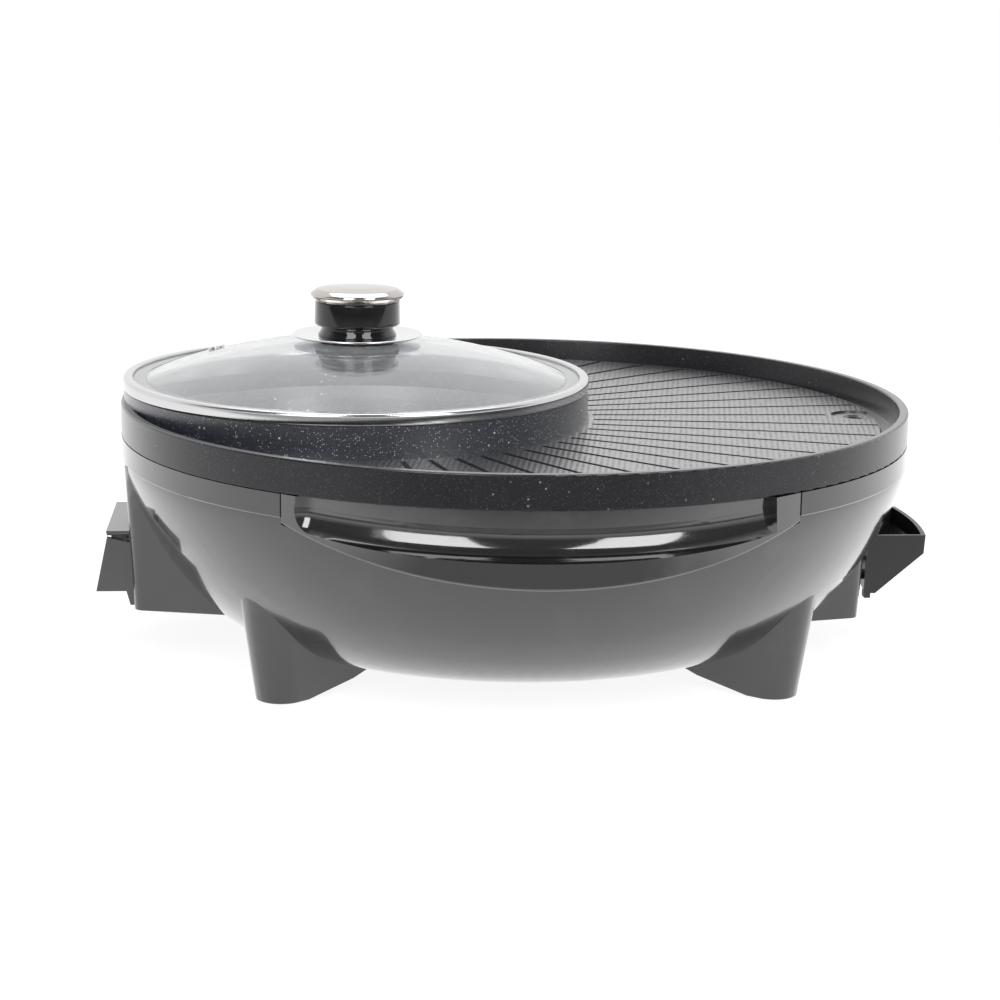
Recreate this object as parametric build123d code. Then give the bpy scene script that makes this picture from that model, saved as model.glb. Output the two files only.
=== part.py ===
from build123d import *
from math import asin, atan2, cos, degrees, hypot, radians, sin, sqrt, tan
import os

# Electric table grill with a built-in hot pot and a lift-off glass lid.
# Millimetres, +Z up. The origin is under the centre of the round pan, on the table.
# The pot and the thermostat socket are on -X, the oil drain and its tray on +X,
# and the two handles on -Y and +Y.

# ---------------------------------------------------------------- driving dimensions
# Base moulding: a bowl with a straight collar and a full, drawn-in flank
WALL = 3.0
BOWL_R = 207.6
COLLAR_STEP = 0.5            # the collar stands this much proud of the flank
COLLAR_Z = 106.0
BOWL_TOP = 117.0
FLANK_Z = 105.4              # the flank leaves the vertical here
FLANK_PULL_Z = 92.0          # end of the pull that shapes the flank's upper half
FLANK_PULL_R = 177.1         # end of the pull that shapes its lower half
BOWL_BOTTOM = 14.0
FLAT_R = 124.8               # the flat bottom ends here
OPENING_R = 104.0            # service opening in the bottom
REBATE_R = 113.2             # the bottom cover lies in this rebate
COVER_T = 2.5
FLANGE_R = 121.0
FLANGE_T = 3.0
POST_R = 4.5
PLATE_POSTS = ((172.0, 25.0), (172.0, -25.0), (172.0, 105.0), (172.0, -105.0))   # radius, angle
WELL_POSTS = ((-128.0, 44.0), (-128.0, -44.0))

# Legs, and the two blocks on the sides
LEG_ANGLES = (41.4, 138.6, 221.4, 318.6)
LEG_LOW = 0.8
LEG_NOSE_R = 177.3
LEG_HALF = 12.5
LEG_SPLAY = 1.5
LEG_LEAN = 9.2               # the nose leans outwards
LEG_DRAFT = 3.5              # the sides widen upwards
LEG_TAIL_R = 116.0
LEG_HEEL = ((158.0, 0.0), (129.0, 5.5), (110.0, 12.0))     # the sole's line: radius, rise
LEG_TOP = 70.0
FOOT_R = 7.0
FOOT_AT_R = 165.0
FOOT_T = 2.4
BLOCK_HALF = 45.0
BLOCK_SPLAY = 13.0
BLOCK_CORNER = 6.0
BLOCK_TAIL = 120.0
SOCKET_BLOCK_X = 200.4       # outer face of the block behind the socket, at its foot
SOCKET_BLOCK_LOW = 28.8
SOCKET_BLOCK_TOP = 104.0
SOCKET_BLOCK_DRAFT = 3.0
TRAY_BLOCK_X = 181.4
TRAY_BLOCK_LOW = 22.2
TRAY_BLOCK_TOP = 62.0
TRAY_BLOCK_DRAFT = 4.0

# Handles: a crescent ledge under a scooped thumb rest
LIP_R = 181.0                # plan radius of the ledge's lip
LIP_REACH = 215.5            # the lip's middle, from the middle of the pan
LIP_Z = 94.3
SCOOP_R = 12.5               # radius of the scoop's section
SCOOP_RING_R = 215.5         # plan radius of the scoop's run
SCOOP_HALF_ANGLE = 31.6      # middle of its round ends
SCOOP_TILT = 6.5             # the scoop rises towards its ends
SOLE_Z = 80.8                # lower edge of the ledge at its middle
SOLE_TILT = 24.0
SOLE_ROUND = 1.2
HANDLE_BACK_R = 199.5
HANDLE_HALF_ANGLE = 36.2
HANDLE_FIT = 0.15
LUG_ANGLE = 14.0
LUG_GAP = 0.35
LUG_Z = 95.5

# Pan: grill plate, pot and wall are one casting, given as three solids that meet face to face
PAN_R = 208.0
PAN_TOP = 134.1
PAN_WALL = 4.6
WALL_FOOT_R = 201.6          # the wall's inner side meets the gutter here
PAN_ROUND = 0.9
PAN_FLOOR = 123.7            # top of the grill ribs
PAN_UNDER = 118.0
GUTTER_Z = 121.2
GUTTER_R = 195.0
GROOVE_W = 3.0
GROOVE_D = 2.0
GROOVE_PITCH = 6.25          # degrees, measured round the pot
GROOVE_COUNT = 13            # on each side of the middle one
GROOVE_START_R = 126.0       # from the pot's middle
GROOVE_END_R = 193.0         # from the pan's middle
DRAIN_X = 185.0
DRAIN_R = 5.0
NIPPLE_R = 7.4
NIPPLE_LOW = 107.5
DRAIN_POCKET_R = 13.0
DRAIN_POCKET_D = 1.1
DRAIN_LEAD = 1.2             # bevel round the hole
SKIRT_R = 199.0
SKIRT_LOW = 112.5
POT_X = -84.0
POT_TOP = 140.0
POT_R = 122.5
POT_WALL = 3.6
POT_LOW = 62.0

# Lid
LID_R = 123.0
RIM_T = 1.2
RIM_SKIRT_R = 117.7
RIM_SKIRT_LOW = 131.0
GLASS_T = 4.0
GLASS_R = 120.6
DOME_R = 111.0               # the dome starts at this radius
DOME_RISE = 20.2
VENT_R = 80.6
VENT_ANGLE = 159.0
VENT_BORE = 1.6
LID_SCREW_R = 2.5
CAP_H = 7.2
CROWN_R = 150.0

# Heating
PLATE_Z = 97.0
PLATE_R = 187.0
PLATE_T = 1.0
WELL_FLANGE_R = 117.8
WELL_PROFILE = ((84.0, 41.5), (93.0, 46.0), (102.0, 57.0), (109.5, 78.0), (117.0, PLATE_Z))
TUBE_R = 3.6
GRILL_TUBE_Z = 111.4
GRILL_RUN_OUT = 165.0
GRILL_RUN_IN = 113.0
GRILL_TURN_ANGLE = 97.0
GRILL_CLIPS = ((GRILL_RUN_OUT, (-80.0, -38.0, 38.0, 80.0)), (GRILL_RUN_IN, (-60.0, 0.0, 60.0)))
POT_TUBE_Z = 56.7
POT_RING_R = 72.0
POT_BEND_R = 12.0
POT_CLIP_ANGLES = (-100.0, 0.0, 100.0)
TAIL_END_X = -193.0

# Socket for the plug-in thermostat
SOCKET_HALF = 35.0
SOCKET_Z = 49.5
SOCKET_LOW = 36.4
SOCKET_TOP = 65.2
SOCKET_OUT_TOP = 214.6
SOCKET_OUT_LOW = 220.6
CHEEK_LOW = 29.0             # the cheeks' feet reach down to here
WINDOW = ((-30.0, 30.0), (40.0, 63.0))
SOCKET_WALL = 3.0
SHELF_LOW = 66.2             # the top plate over the socket
SHELF_TOP = 68.8
PIN_R = 3.0
PIN_SHANK_R = 3.5
PIN_Y = 16.0
PIN_TIP = 215.4
PIN_END = 191.0
SLEEVE_R = 5.6
PROBE_R = 4.6

# Drip tray and chute
TRAY_HALF = 35.6
TRAY_TOP = 64.9
TRAY_LOW = 33.2
TRAY_OUT = 221.0
TRAY_WALL = 2.2
TONGUE_Y = 22.0
TONGUE_Z = 40.5
CHUTE_R = 4.5
CHUTE_BORE = 3.5

os.makedirs("parts", exist_ok=True)


# ---------------------------------------------------------------- helpers
def save(shape, node):
    export_step(shape, f"parts/{node}.step")


def turned(points, soft=(), radius=1.0):
    """Revolve a closed outline of (radius, height) points about Z; soft names the corners to round."""
    face = make_face(Plane.XZ * Polyline(*points, close=True))
    if soft:
        corners = [min(face.vertices(), key=lambda v: hypot(v.X - r, v.Z - z)) for r, z in soft]
        face = fillet(corners, radius)
    return revolve(face, Axis.Z, 360)


def disc(r, low, high):
    return Pos(0, 0, low) * Cylinder(r, high - low, align=(Align.CENTER, Align.CENTER, Align.MIN))


def ring(r_in, r_out, low, high):
    return disc(r_out, low, high) - disc(r_in, low, high)


def block(x, y, z):
    """A box that spans (x0, x1), (y0, y1) and (z0, z1)."""
    size = [high - low for low, high in (x, y, z)]
    middle = [(high + low) / 2 for low, high in (x, y, z)]
    return Pos(*middle) * Box(*size)


def rod(r, start, length):
    """A round bar from a start point along +X."""
    return Pos(*start) * Rot(0, 90, 0) * Cylinder(r, length, align=(Align.CENTER, Align.CENTER, Align.MIN))


def slab(points, half):
    """Extrude a closed outline of (x, z) points to both sides of Y = 0."""
    return extrude(make_face(Plane.XZ * Polyline(*points, close=True)), half, both=True)


def around(shape, angles):
    """The same shape turned about Z to each angle, as a list."""
    return [Rot(0, 0, angle) * shape for angle in angles]


def wedge(reach, half, splay, tail, corner, low, high, draft):
    """A radial block on +X that widens inwards, with a rounded nose and drafted walls."""
    half_tail = half + (reach - tail) * tan(radians(splay))
    plan = make_face(Polyline((tail, -half_tail), (reach, -half), (reach, half), (tail, half_tail), close=True))
    plan = fillet(plan.vertices().sort_by(Axis.X)[-2:], corner)
    return Pos(0, 0, low) * extrude(plan, high - low, taper=-draft)


def screw(head_r, head_h, shank_r, length):
    """A cross-recess screw along +Z: the head is below zero and the shank above it."""
    head = fillet(disc(head_r, -head_h, 0).edges().sort_by(Axis.Z)[0], head_h * 0.4)
    bar = block((-head_r * 0.55, head_r * 0.55), (-head_r * 0.14, head_r * 0.14), (-head_h, -head_h * 0.45))
    return head - bar - Rot(0, 0, 90) * bar + disc(shank_r, 0, length)


def tube_along(path, radius, bore=0.0):
    """A round bar, or a tube where a bore is given, along a path."""
    section = Circle(radius) - Circle(bore) if bore else Circle(radius)
    return sweep(Plane(origin=path @ 0, z_dir=path % 0) * section, path=path)


def socket_face_x(z):
    """The drafted outer face of the socket block at a height."""
    return -SOCKET_BLOCK_X - (z - SOCKET_BLOCK_LOW) * tan(radians(SOCKET_BLOCK_DRAFT))


# ---------------------------------------------------------------- base moulding
def bowl_solid(inset):
    """The bowl as a solid, its surface moved in by inset. Only the outer form has the collar."""
    side = BOWL_R - inset
    low = BOWL_BOTTOM + inset
    top = BOWL_TOP + (5 if inset else 0)
    collar = side + (0 if inset else COLLAR_STEP)
    flat = FLAT_R - inset / 3
    outline = Curve(children=[
        Line((0, low), (flat, low)),
        Bezier((flat, low), (FLANK_PULL_R - inset * 0.4, low), (side, FLANK_PULL_Z + inset * 0.2), (side, FLANK_Z)),
        Polyline((side, FLANK_Z), (collar, COLLAR_Z), (collar, top), (0, top), (0, low)),
    ])
    return revolve(make_face(Plane.XZ * outline), Axis.Z, 360)


def leg_plan(reach, half, z):
    """A leg's outline in plan at a height, with a full round nose."""
    tail = half + (reach - LEG_TAIL_R) * tan(radians(LEG_SPLAY))
    plan = make_face(Polyline((LEG_TAIL_R, -tail), (reach, -half), (reach, half), (LEG_TAIL_R, tail), close=True))
    return Pos(0, 0, z) * fillet(plan.vertices().sort_by(Axis.X)[-2:], half - 0.2)


def leg_solid(inset):
    low = LEG_LOW + inset
    reach = LEG_NOSE_R - inset
    half = LEG_HALF - inset
    rise = LEG_TOP - low
    top = leg_plan(reach + rise * tan(radians(LEG_LEAN)), half + rise * tan(radians(LEG_DRAFT)), LEG_TOP)
    body = loft([leg_plan(reach, half, low), top], ruled=True)
    line = [(r, low + lift) for r, lift in LEG_HEEL]
    return body - slab([(line[0][0], low - 1)] + line + [(LEG_TAIL_R - 20, low + LEG_HEEL[-1][1]),
                                                         (LEG_TAIL_R - 20, low - 1)], 60)


def socket_block(inset):
    return Rot(0, 0, 180) * wedge(SOCKET_BLOCK_X - inset, BLOCK_HALF - inset, BLOCK_SPLAY, BLOCK_TAIL, BLOCK_CORNER,
                                  SOCKET_BLOCK_LOW + inset, SOCKET_BLOCK_TOP - inset, SOCKET_BLOCK_DRAFT)


def tray_block(inset):
    return wedge(TRAY_BLOCK_X - inset, BLOCK_HALF - inset, BLOCK_SPLAY, BLOCK_TAIL, BLOCK_CORNER,
                 TRAY_BLOCK_LOW + inset, TRAY_BLOCK_TOP, TRAY_BLOCK_DRAFT)


def base_form(inset):
    form = bowl_solid(inset)
    for leg in around(leg_solid(inset), LEG_ANGLES):
        form += leg
    return form + socket_block(inset) + tray_block(inset)


def handle_fan(r_in, r_out, half_angle, grow):
    """The plan sector on -Y that a handle fills, above the tilted sole plane."""
    reach = 400
    half = radians(half_angle)
    fan = make_face(Polyline((0, 0), (-reach * sin(half), -reach * cos(half)),
                             (reach * sin(half), -reach * cos(half)), close=True))
    plan = (Circle(r_out) - Circle(r_in)) & fan
    prism = Pos(0, 0, 60) * extrude(plan, BOWL_TOP - 60 + grow)
    below = Pos(0, -LIP_REACH, SOLE_Z - grow) * Rot(SOLE_TILT, 0, 0) * block((-200, 200), (-60, 200), (-120, 0))
    return prism - below


def scoop():
    """Cutter for the thumb rest: a stretch of ring with ball ends, open at the top and to the front."""
    tool = Torus(SCOOP_RING_R, SCOOP_R) + ring(SCOOP_RING_R - SCOOP_R, SCOOP_RING_R + 40, 0, 40)
    half = radians(SCOOP_HALF_ANGLE)
    fan = make_face(Polyline((0, 0), (-400 * sin(half), -400 * cos(half)), (400 * sin(half), -400 * cos(half)),
                             close=True))
    tool &= Pos(0, 0, -SCOOP_R - 1) * extrude(fan, 60)
    for side in (-SCOOP_HALF_ANGLE, SCOOP_HALF_ANGLE):
        tool += Rot(0, 0, side - 90) * Pos(SCOOP_RING_R, 0, 0) * (Sphere(SCOOP_R) + disc(SCOOP_R, 0, 40))
    return tool


def handle():
    """One crescent handle, on -Y."""
    lens = Pos(0, LIP_R - LIP_REACH, 60) * disc(LIP_R, 0, BOWL_TOP - 60)
    body = handle_fan(HANDLE_BACK_R, 240, HANDLE_HALF_ANGLE, 0) & lens
    front_edge = [edge for edge in body.edges() if edge.length > 180 and edge.center().Z < LIP_Z]
    body = fillet([min(front_edge, key=lambda edge: edge.center().Y)], SOLE_ROUND)
    body -= Pos(0, -LIP_REACH, LIP_Z) * Rot(SCOOP_TILT, 0, 0) * Pos(0, SCOOP_RING_R, SCOOP_R) * scoop()
    for angle in (-LUG_ANGLE, LUG_ANGLE):
        body -= Rot(0, 0, angle - 90) * rod(2.0, (HANDLE_BACK_R - 1, 0, LUG_Z), 8.6)
    return body


def handle_lugs():
    """Ribbed lugs that stand up from the bowl's wall behind each handle and take its screws."""
    lug = block((196.0, HANDLE_BACK_R - LUG_GAP), (-8, 8), (80.8, LUG_Z + 7.5))
    for y in (-7, 7):
        lug += block((192.6, 196.2), (y - 1, y + 1), (74, LUG_Z - 4))
    lug -= rod(2.1, (190, 0, LUG_Z), 12)
    return around(lug, [side + angle for side in (90, 270) for angle in (-LUG_ANGLE, LUG_ANGLE)])


def base_shell():
    shell = base_form(0) - base_form(WALL)
    # bottom flange, its rebate and the service opening
    shell += ring(OPENING_R, FLANGE_R, BOWL_BOTTOM + COVER_T, BOWL_BOTTOM + COVER_T + FLANGE_T)
    shell -= disc(OPENING_R, 0, BOWL_BOTTOM + 10)
    shell -= disc(REBATE_R, 0, BOWL_BOTTOM + COVER_T)
    for hole in around(Pos(cover_screw_r(), 0, 0) * disc(1.5, 0, 30), COVER_SCREW_ANGLES):
        shell -= hole
    # posts that carry the heat shield
    inside = bowl_solid(1.0)
    for r, angle in PLATE_POSTS:
        post = Pos(r * cos(radians(angle)), r * sin(radians(angle)), 0) * ring(1.5, POST_R, 0, PLATE_Z)
        shell += post & inside
    for x, y in WELL_POSTS:
        shell += Pos(x, y, 0) * disc(POST_R, 0, WELL_PROFILE[0][1]) & inside
    # pockets under the legs for the rubber feet
    for pocket in around(Pos(FOOT_AT_R, 0, 0) * disc(FOOT_R, 0, FOOT_T), LEG_ANGLES):
        shell -= pocket
    # handle openings and their lugs
    opening = handle_fan(HANDLE_BACK_R - 2, 240, HANDLE_HALF_ANGLE + 0.05, HANDLE_FIT)
    for cut in around(opening, (0, 180)):
        shell -= cut
    for lug in handle_lugs():
        shell += lug
    # window behind the thermostat socket, slots for the tray's tongues, hole for the chute
    shell -= block((-206, -190), *WINDOW)
    for y in (-TONGUE_Y, TONGUE_Y):
        shell -= block((174, 192), (y - 3.7, y + 3.7), (TONGUE_Z - 2.2, TONGUE_Z + 2.2))
    return shell - chute_run(CHUTE_R + 0.1)


COVER_SCREW_ANGLES = [60 * k for k in range(6)]


def cover_screw_r():
    return (OPENING_R + REBATE_R) / 2


def bottom_cover():
    """Flat service cover with six screw holes and six rows of cooling slots."""
    cover = disc(REBATE_R - 0.2, BOWL_BOTTOM, BOWL_BOTTOM + COVER_T)
    cover += ring(40, 42, BOWL_BOTTOM + COVER_T, BOWL_BOTTOM + COVER_T + 3)
    for hole in around(Pos(cover_screw_r(), 0, 0) * disc(1.7, 0, 30), COVER_SCREW_ANGLES):
        cover -= hole
    for r in (56, 68, 80):
        slot = Pos(r, 0, 0) * extrude(SlotOverall(26, 4, rotation=90), 30)
        for cut in around(slot, [30 + 60 * k for k in range(6)]):
            cover -= cut
    return cover


def bottom_screws():
    one = Pos(cover_screw_r(), 0, BOWL_BOTTOM) * screw(3.2, 2.0, 1.5, 5.4)
    return Compound(children=around(one, COVER_SCREW_ANGLES))


def rubber_feet():
    foot = fillet(disc(FOOT_R, 0, FOOT_T).edges().sort_by(Axis.Z)[0], 0.6)
    return Compound(children=around(Pos(FOOT_AT_R, 0, 0) * foot, LEG_ANGLES))


def handle_screws():
    """Two screws behind each handle, driven outwards from inside the bowl."""
    one = Pos(196.0, 0, LUG_Z) * Rot(0, 90, 0) * screw(3.8, 2.2, 2.0, 10.0)
    return Compound(children=around(one, [side + angle for side in (90, 270) for angle in (-LUG_ANGLE, LUG_ANGLE)]))


# ---------------------------------------------------------------- pan
def grooves():
    """Straight grooves that fan out from the pot's middle and end at the gutter or short of the drain."""
    cuts = []
    for k in range(-GROOVE_COUNT, GROOVE_COUNT + 1):
        angle = radians(k * GROOVE_PITCH)
        end = sqrt(GROOVE_END_R ** 2 - (POT_X * sin(angle)) ** 2) - POT_X * cos(angle)
        if k == 0:
            end = DRAIN_X - POT_X - DRAIN_POCKET_R - 3
        slot = block((GROOVE_START_R, end), (-GROOVE_W / 2, GROOVE_W / 2), (PAN_FLOOR - GROOVE_D, PAN_FLOOR + 1))
        cuts.append(Pos(POT_X, 0, 0) * Rot(0, 0, degrees(angle)) * slot)
    return cuts


def pot_form():
    """The pot's outer form, without its hollow."""
    return Pos(POT_X, 0, 0) * turned([
        (0, POT_LOW), (88, POT_LOW), (98, POT_LOW + 2.5), (104, POT_LOW + 9), (107, POT_LOW + 20), (112, 98),
        (118.4, BOWL_TOP - 0.5), (POT_R + 0.6, PAN_FLOOR), (POT_R, POT_TOP), (0, POT_TOP)],
        soft=[(98, POT_LOW + 2.5), (104, POT_LOW + 9)], radius=4.0)


def pot_hollow():
    """The room inside the pot, open at the top."""
    mouth = POT_R - POT_WALL
    return Pos(POT_X, 0, 0) * turned([
        (0, POT_TOP + 1), (mouth, POT_TOP + 1), (mouth, PAN_FLOOR - 3), (114.8, 114),
        (108.4, 97), (103.4, POT_LOW + 20.5), (100.6, POT_LOW + 10.8), (96, POT_LOW + 5.8),
        (87.4, POT_LOW + POT_WALL), (0, POT_LOW + POT_WALL)],
        soft=[(100.6, POT_LOW + 10.8), (96, POT_LOW + 5.8)], radius=4.0)


def pan_vessel():
    """The pot, from its rim down through the plate to its floor."""
    return pot_form() - pot_hollow()


def pan_wall():
    """The low wall round the grill plate; it runs into the pot's side."""
    inner = PAN_R - PAN_WALL
    wall = turned([
        (WALL_FOOT_R, BOWL_TOP), (PAN_R, BOWL_TOP), (PAN_R, PAN_TOP), (inner, PAN_TOP), (WALL_FOOT_R, GUTTER_Z)],
        soft=[(PAN_R, PAN_TOP), (inner, PAN_TOP), (PAN_R, BOWL_TOP)], radius=PAN_ROUND)
    return wall - pot_form()


def pan():
    """The grill plate with its grooves, gutter, drain and the skirt that seats in the base."""
    body = turned([
        (0, PAN_UNDER), (SKIRT_R - 3, PAN_UNDER), (SKIRT_R - 3, SKIRT_LOW), (SKIRT_R, SKIRT_LOW),
        (SKIRT_R, BOWL_TOP), (WALL_FOOT_R, BOWL_TOP), (WALL_FOOT_R, GUTTER_Z),
        (GUTTER_R, GUTTER_Z), (GUTTER_R - 1.2, PAN_FLOOR), (0, PAN_FLOOR)])
    body -= pot_form()
    pocket_z = PAN_FLOOR - DRAIN_POCKET_D
    drain_at = Pos(DRAIN_X, 0, 0)
    body -= drain_at * disc(DRAIN_POCKET_R, pocket_z, PAN_FLOOR + 1)
    body += drain_at * disc(NIPPLE_R, NIPPLE_LOW, GUTTER_Z - 0.5)
    body -= drain_at * disc(DRAIN_R, NIPPLE_LOW - 1, PAN_TOP)
    body -= drain_at * turned([(0, pocket_z - DRAIN_LEAD), (DRAIN_R, pocket_z - DRAIN_LEAD),
                               (DRAIN_R + DRAIN_LEAD + 1, pocket_z + 1), (0, pocket_z + 1)])
    for groove in grooves():
        body -= groove
    return body


# ---------------------------------------------------------------- lid
GLASS_LOW = POT_TOP + RIM_T
DOME_TOP = GLASS_LOW + GLASS_T + DOME_RISE
SPHERE_R = (DOME_R ** 2 + DOME_RISE ** 2) / (2 * DOME_RISE)


def dome_z(r, depth=0.0):
    """Height of the dome's outer face at a radius, or of the face that lies depth under it."""
    return DOME_TOP - SPHERE_R + sqrt((SPHERE_R - depth) ** 2 - r ** 2)


def lid_glass():
    outer_z = GLASS_LOW + GLASS_T
    inner_r = sqrt((SPHERE_R - GLASS_T) ** 2 - (GLASS_LOW - DOME_TOP + SPHERE_R) ** 2)
    outline = Curve(children=[
        Line((LID_SCREW_R + 1.5, dome_z(LID_SCREW_R + 1.5, GLASS_T)), (LID_SCREW_R + 1.5, dome_z(LID_SCREW_R + 1.5))),
        ThreePointArc((LID_SCREW_R + 1.5, dome_z(LID_SCREW_R + 1.5)), (60, dome_z(60)), (DOME_R, outer_z)),
        Polyline((DOME_R, outer_z), (GLASS_R, outer_z), (GLASS_R, GLASS_LOW), (inner_r, GLASS_LOW)),
        ThreePointArc((inner_r, GLASS_LOW), (60, dome_z(60, GLASS_T)),
                      (LID_SCREW_R + 1.5, dome_z(LID_SCREW_R + 1.5, GLASS_T))),
    ])
    glass = Pos(POT_X, 0, 0) * revolve(make_face(Plane.XZ * outline), Axis.Z, 360)
    return glass - vent_place() * disc(3.0, -8, 4)


def vent_place():
    """A frame on the dome's outer face, square to the glass, where the vent sits."""
    lean = degrees(asin(VENT_R / SPHERE_R))
    return Pos(POT_X, 0, 0) * Rot(0, 0, VENT_ANGLE) * Pos(VENT_R, 0, dome_z(VENT_R)) * Rot(0, lean, 0)


def lid_vent():
    """Rolled steel eyelet round the steam hole."""
    eyelet = turned([(VENT_BORE, -5.2), (4.6, -5.2), (4.6, -4.5), (2.9, -4.3), (2.9, 0.3), (4.9, 0.3),
                     (4.4, 1.0), (2.2, 1.3), (VENT_BORE, 0.8)])
    return vent_place() * eyelet


def lid_rim():
    """Rolled stainless ring: a channel round the glass, and a skirt that drops into the pot."""
    top = GLASS_LOW + GLASS_T + RIM_T
    rim = turned([
        (RIM_SKIRT_R - 1.0, RIM_SKIRT_LOW), (RIM_SKIRT_R, RIM_SKIRT_LOW), (RIM_SKIRT_R, POT_TOP),
        (LID_R - 1.0, POT_TOP), (LID_R, POT_TOP + 1.0), (LID_R, top - 1.2), (LID_R - 0.4, top - 0.4),
        (LID_R - 1.4, top), (LID_R - 4.6, top), (LID_R - 5.0, GLASS_LOW + GLASS_T), (GLASS_R, GLASS_LOW + GLASS_T),
        (GLASS_R, GLASS_LOW), (RIM_SKIRT_R - 1.0, GLASS_LOW)])
    return Pos(POT_X, 0, 0) * rim


FLANGE_LOW = DOME_TOP + 0.6
KNOB_LOW = FLANGE_LOW + 0.9


def lid_gasket():
    """Silicone washer between the knob's flange and the glass; its underside follows the dome."""
    washer = ring(LID_SCREW_R, 19, DOME_TOP - 3, FLANGE_LOW) - Pos(0, 0, DOME_TOP - SPHERE_R) * Sphere(SPHERE_R)
    return Pos(POT_X, 0, 0) * washer


def lid_knob_flange():
    return Pos(POT_X, 0, 0) * turned([
        (LID_SCREW_R, FLANGE_LOW), (24, FLANGE_LOW), (33.6, FLANGE_LOW + 0.7), (34.6, FLANGE_LOW + 1.2),
        (34.5, FLANGE_LOW + 1.8), (33.4, FLANGE_LOW + 1.6), (23.8, KNOB_LOW), (LID_SCREW_R, KNOB_LOW)])


def lid_knob_body():
    """Moulded grip: a waisted neck under a straight band, with a recess for the cap."""
    z = KNOB_LOW
    outline = Curve(children=[
        Polyline((LID_SCREW_R, z + 12), (LID_SCREW_R, z), (20.9, z)),
        ThreePointArc((20.9, z), (19.2, z + 2.6), (19.0, z + 5.2)),
        Polyline((19.0, z + 5.2), (21.4, z + 5.6), (22.6, z + 7.2), (22.3, z + 17.4), (21.6, z + 18.2),
                 (20.4, z + 18.2), (20.4, z + 15.2), (0, z + 15.2), (0, z + 12), (LID_SCREW_R, z + 12)),
    ])
    return Pos(POT_X, 0, 0) * revolve(make_face(Plane.XZ * outline), Axis.Z, 360)


def lid_knob_cap():
    """Pressed metal cap with a rounded edge and a low crown, pushed into the grip."""
    z = KNOB_LOW + 18.2
    crown = Pos(0, 0, z + CAP_H - CROWN_R) * Sphere(CROWN_R)
    edge = Curve(children=[
        Polyline((0, z + CAP_H + 1), (0, z - 3), (20.3, z - 3), (20.3, z), (22.2, z), (23.4, z + 0.8)),
        ThreePointArc((23.4, z + 0.8), (25.2, z + 3.0), (23.4, z + 5.4)),
        Polyline((23.4, z + 5.4), (23.4, z + CAP_H + 1), (0, z + CAP_H + 1)),
    ])
    return Pos(POT_X, 0, 0) * (revolve(make_face(Plane.XZ * edge), Axis.Z, 360) & crown)


CUP_LOW = DOME_TOP - GLASS_T - 9.2


def lid_under_cup():
    """Dished steel cup under the glass that spreads the screw's load."""
    top = dome_z(22.4, GLASS_T) - 0.05
    return Pos(POT_X, 0, 0) * turned([
        (LID_SCREW_R, CUP_LOW), (17, CUP_LOW), (21, CUP_LOW + 2), (22.4, CUP_LOW + 5), (22.4, top), (21.5, top),
        (21.5, CUP_LOW + 5.2), (20.4, CUP_LOW + 2.8), (16.7, CUP_LOW + 0.9), (LID_SCREW_R, CUP_LOW + 0.9)])


def lid_screw():
    return Pos(POT_X, 0, CUP_LOW) * screw(4.8, 2.8, LID_SCREW_R, KNOB_LOW + 11 - CUP_LOW)


# ---------------------------------------------------------------- heating
def element_holes():
    """Bars that stand for the holes in the heat shield: two element tails and the probe sleeve."""
    tails = [rod(TUBE_R + 0.9, (-210, y, POT_TUBE_Z), 40) for y in (-PIN_Y, PIN_Y)]
    return tails + [rod(SLEEVE_R + 0.3, (-210, 0, SOCKET_Z), 60)]


def heat_shield():
    """Flat steel shield under the grill, cut out round the pot's well."""
    shield = disc(PLATE_R, PLATE_Z, PLATE_Z + PLATE_T)
    shield -= Pos(POT_X, 0, 0) * disc(WELL_FLANGE_R, PLATE_Z - 1, PLATE_Z + 2)
    shield -= Pos(DRAIN_X, 0, 0) * disc(15, PLATE_Z - 1, PLATE_Z + 2)
    for r, angle in PLATE_POSTS:
        shield -= Pos(r * cos(radians(angle)), r * sin(radians(angle)), 0) * disc(1.6, PLATE_Z - 1, PLATE_Z + 2)
    for run in (GRILL_RUN_OUT, GRILL_RUN_IN):
        x, y = grill_end(run)
        shield -= Pos(x, y, 0) * disc(2.5, PLATE_Z - 1, PLATE_Z + 2)
    return shield


def heat_well():
    """Deep pressed well round the pot; its flange lies flush in the shield."""
    bottom = WELL_PROFILE[0][1]
    outer = [(0, bottom)] + list(WELL_PROFILE)
    inner = [(r - PLATE_T, z + 0.3 * PLATE_T) for r, z in reversed(WELL_PROFILE[1:])]
    floor = [(WELL_PROFILE[0][0] - 0.6, bottom + PLATE_T), (0, bottom + PLATE_T)]
    well = disc(WELL_FLANGE_R, PLATE_Z, PLATE_Z + PLATE_T) + turned(outer + [(0, PLATE_Z)])
    well -= turned([(0, PLATE_Z + 2), (116, PLATE_Z + 2)] + inner + floor)
    well = Pos(POT_X, 0, 0) * well
    for hole in element_holes():
        well -= hole
    return well


def shield_screws():
    one = Pos(0, 0, PLATE_Z + PLATE_T) * Rot(180, 0, 0) * screw(3.4, 2.0, 1.5, 9)
    return Compound(children=[Pos(r * cos(radians(a)), r * sin(radians(a)), 0) * one for r, a in PLATE_POSTS])


def grill_end(run):
    """Where a run of the grill element ends, on the -Y side."""
    angle = radians(-GRILL_TURN_ANGLE)
    return (run * cos(angle), run * sin(angle))


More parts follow.
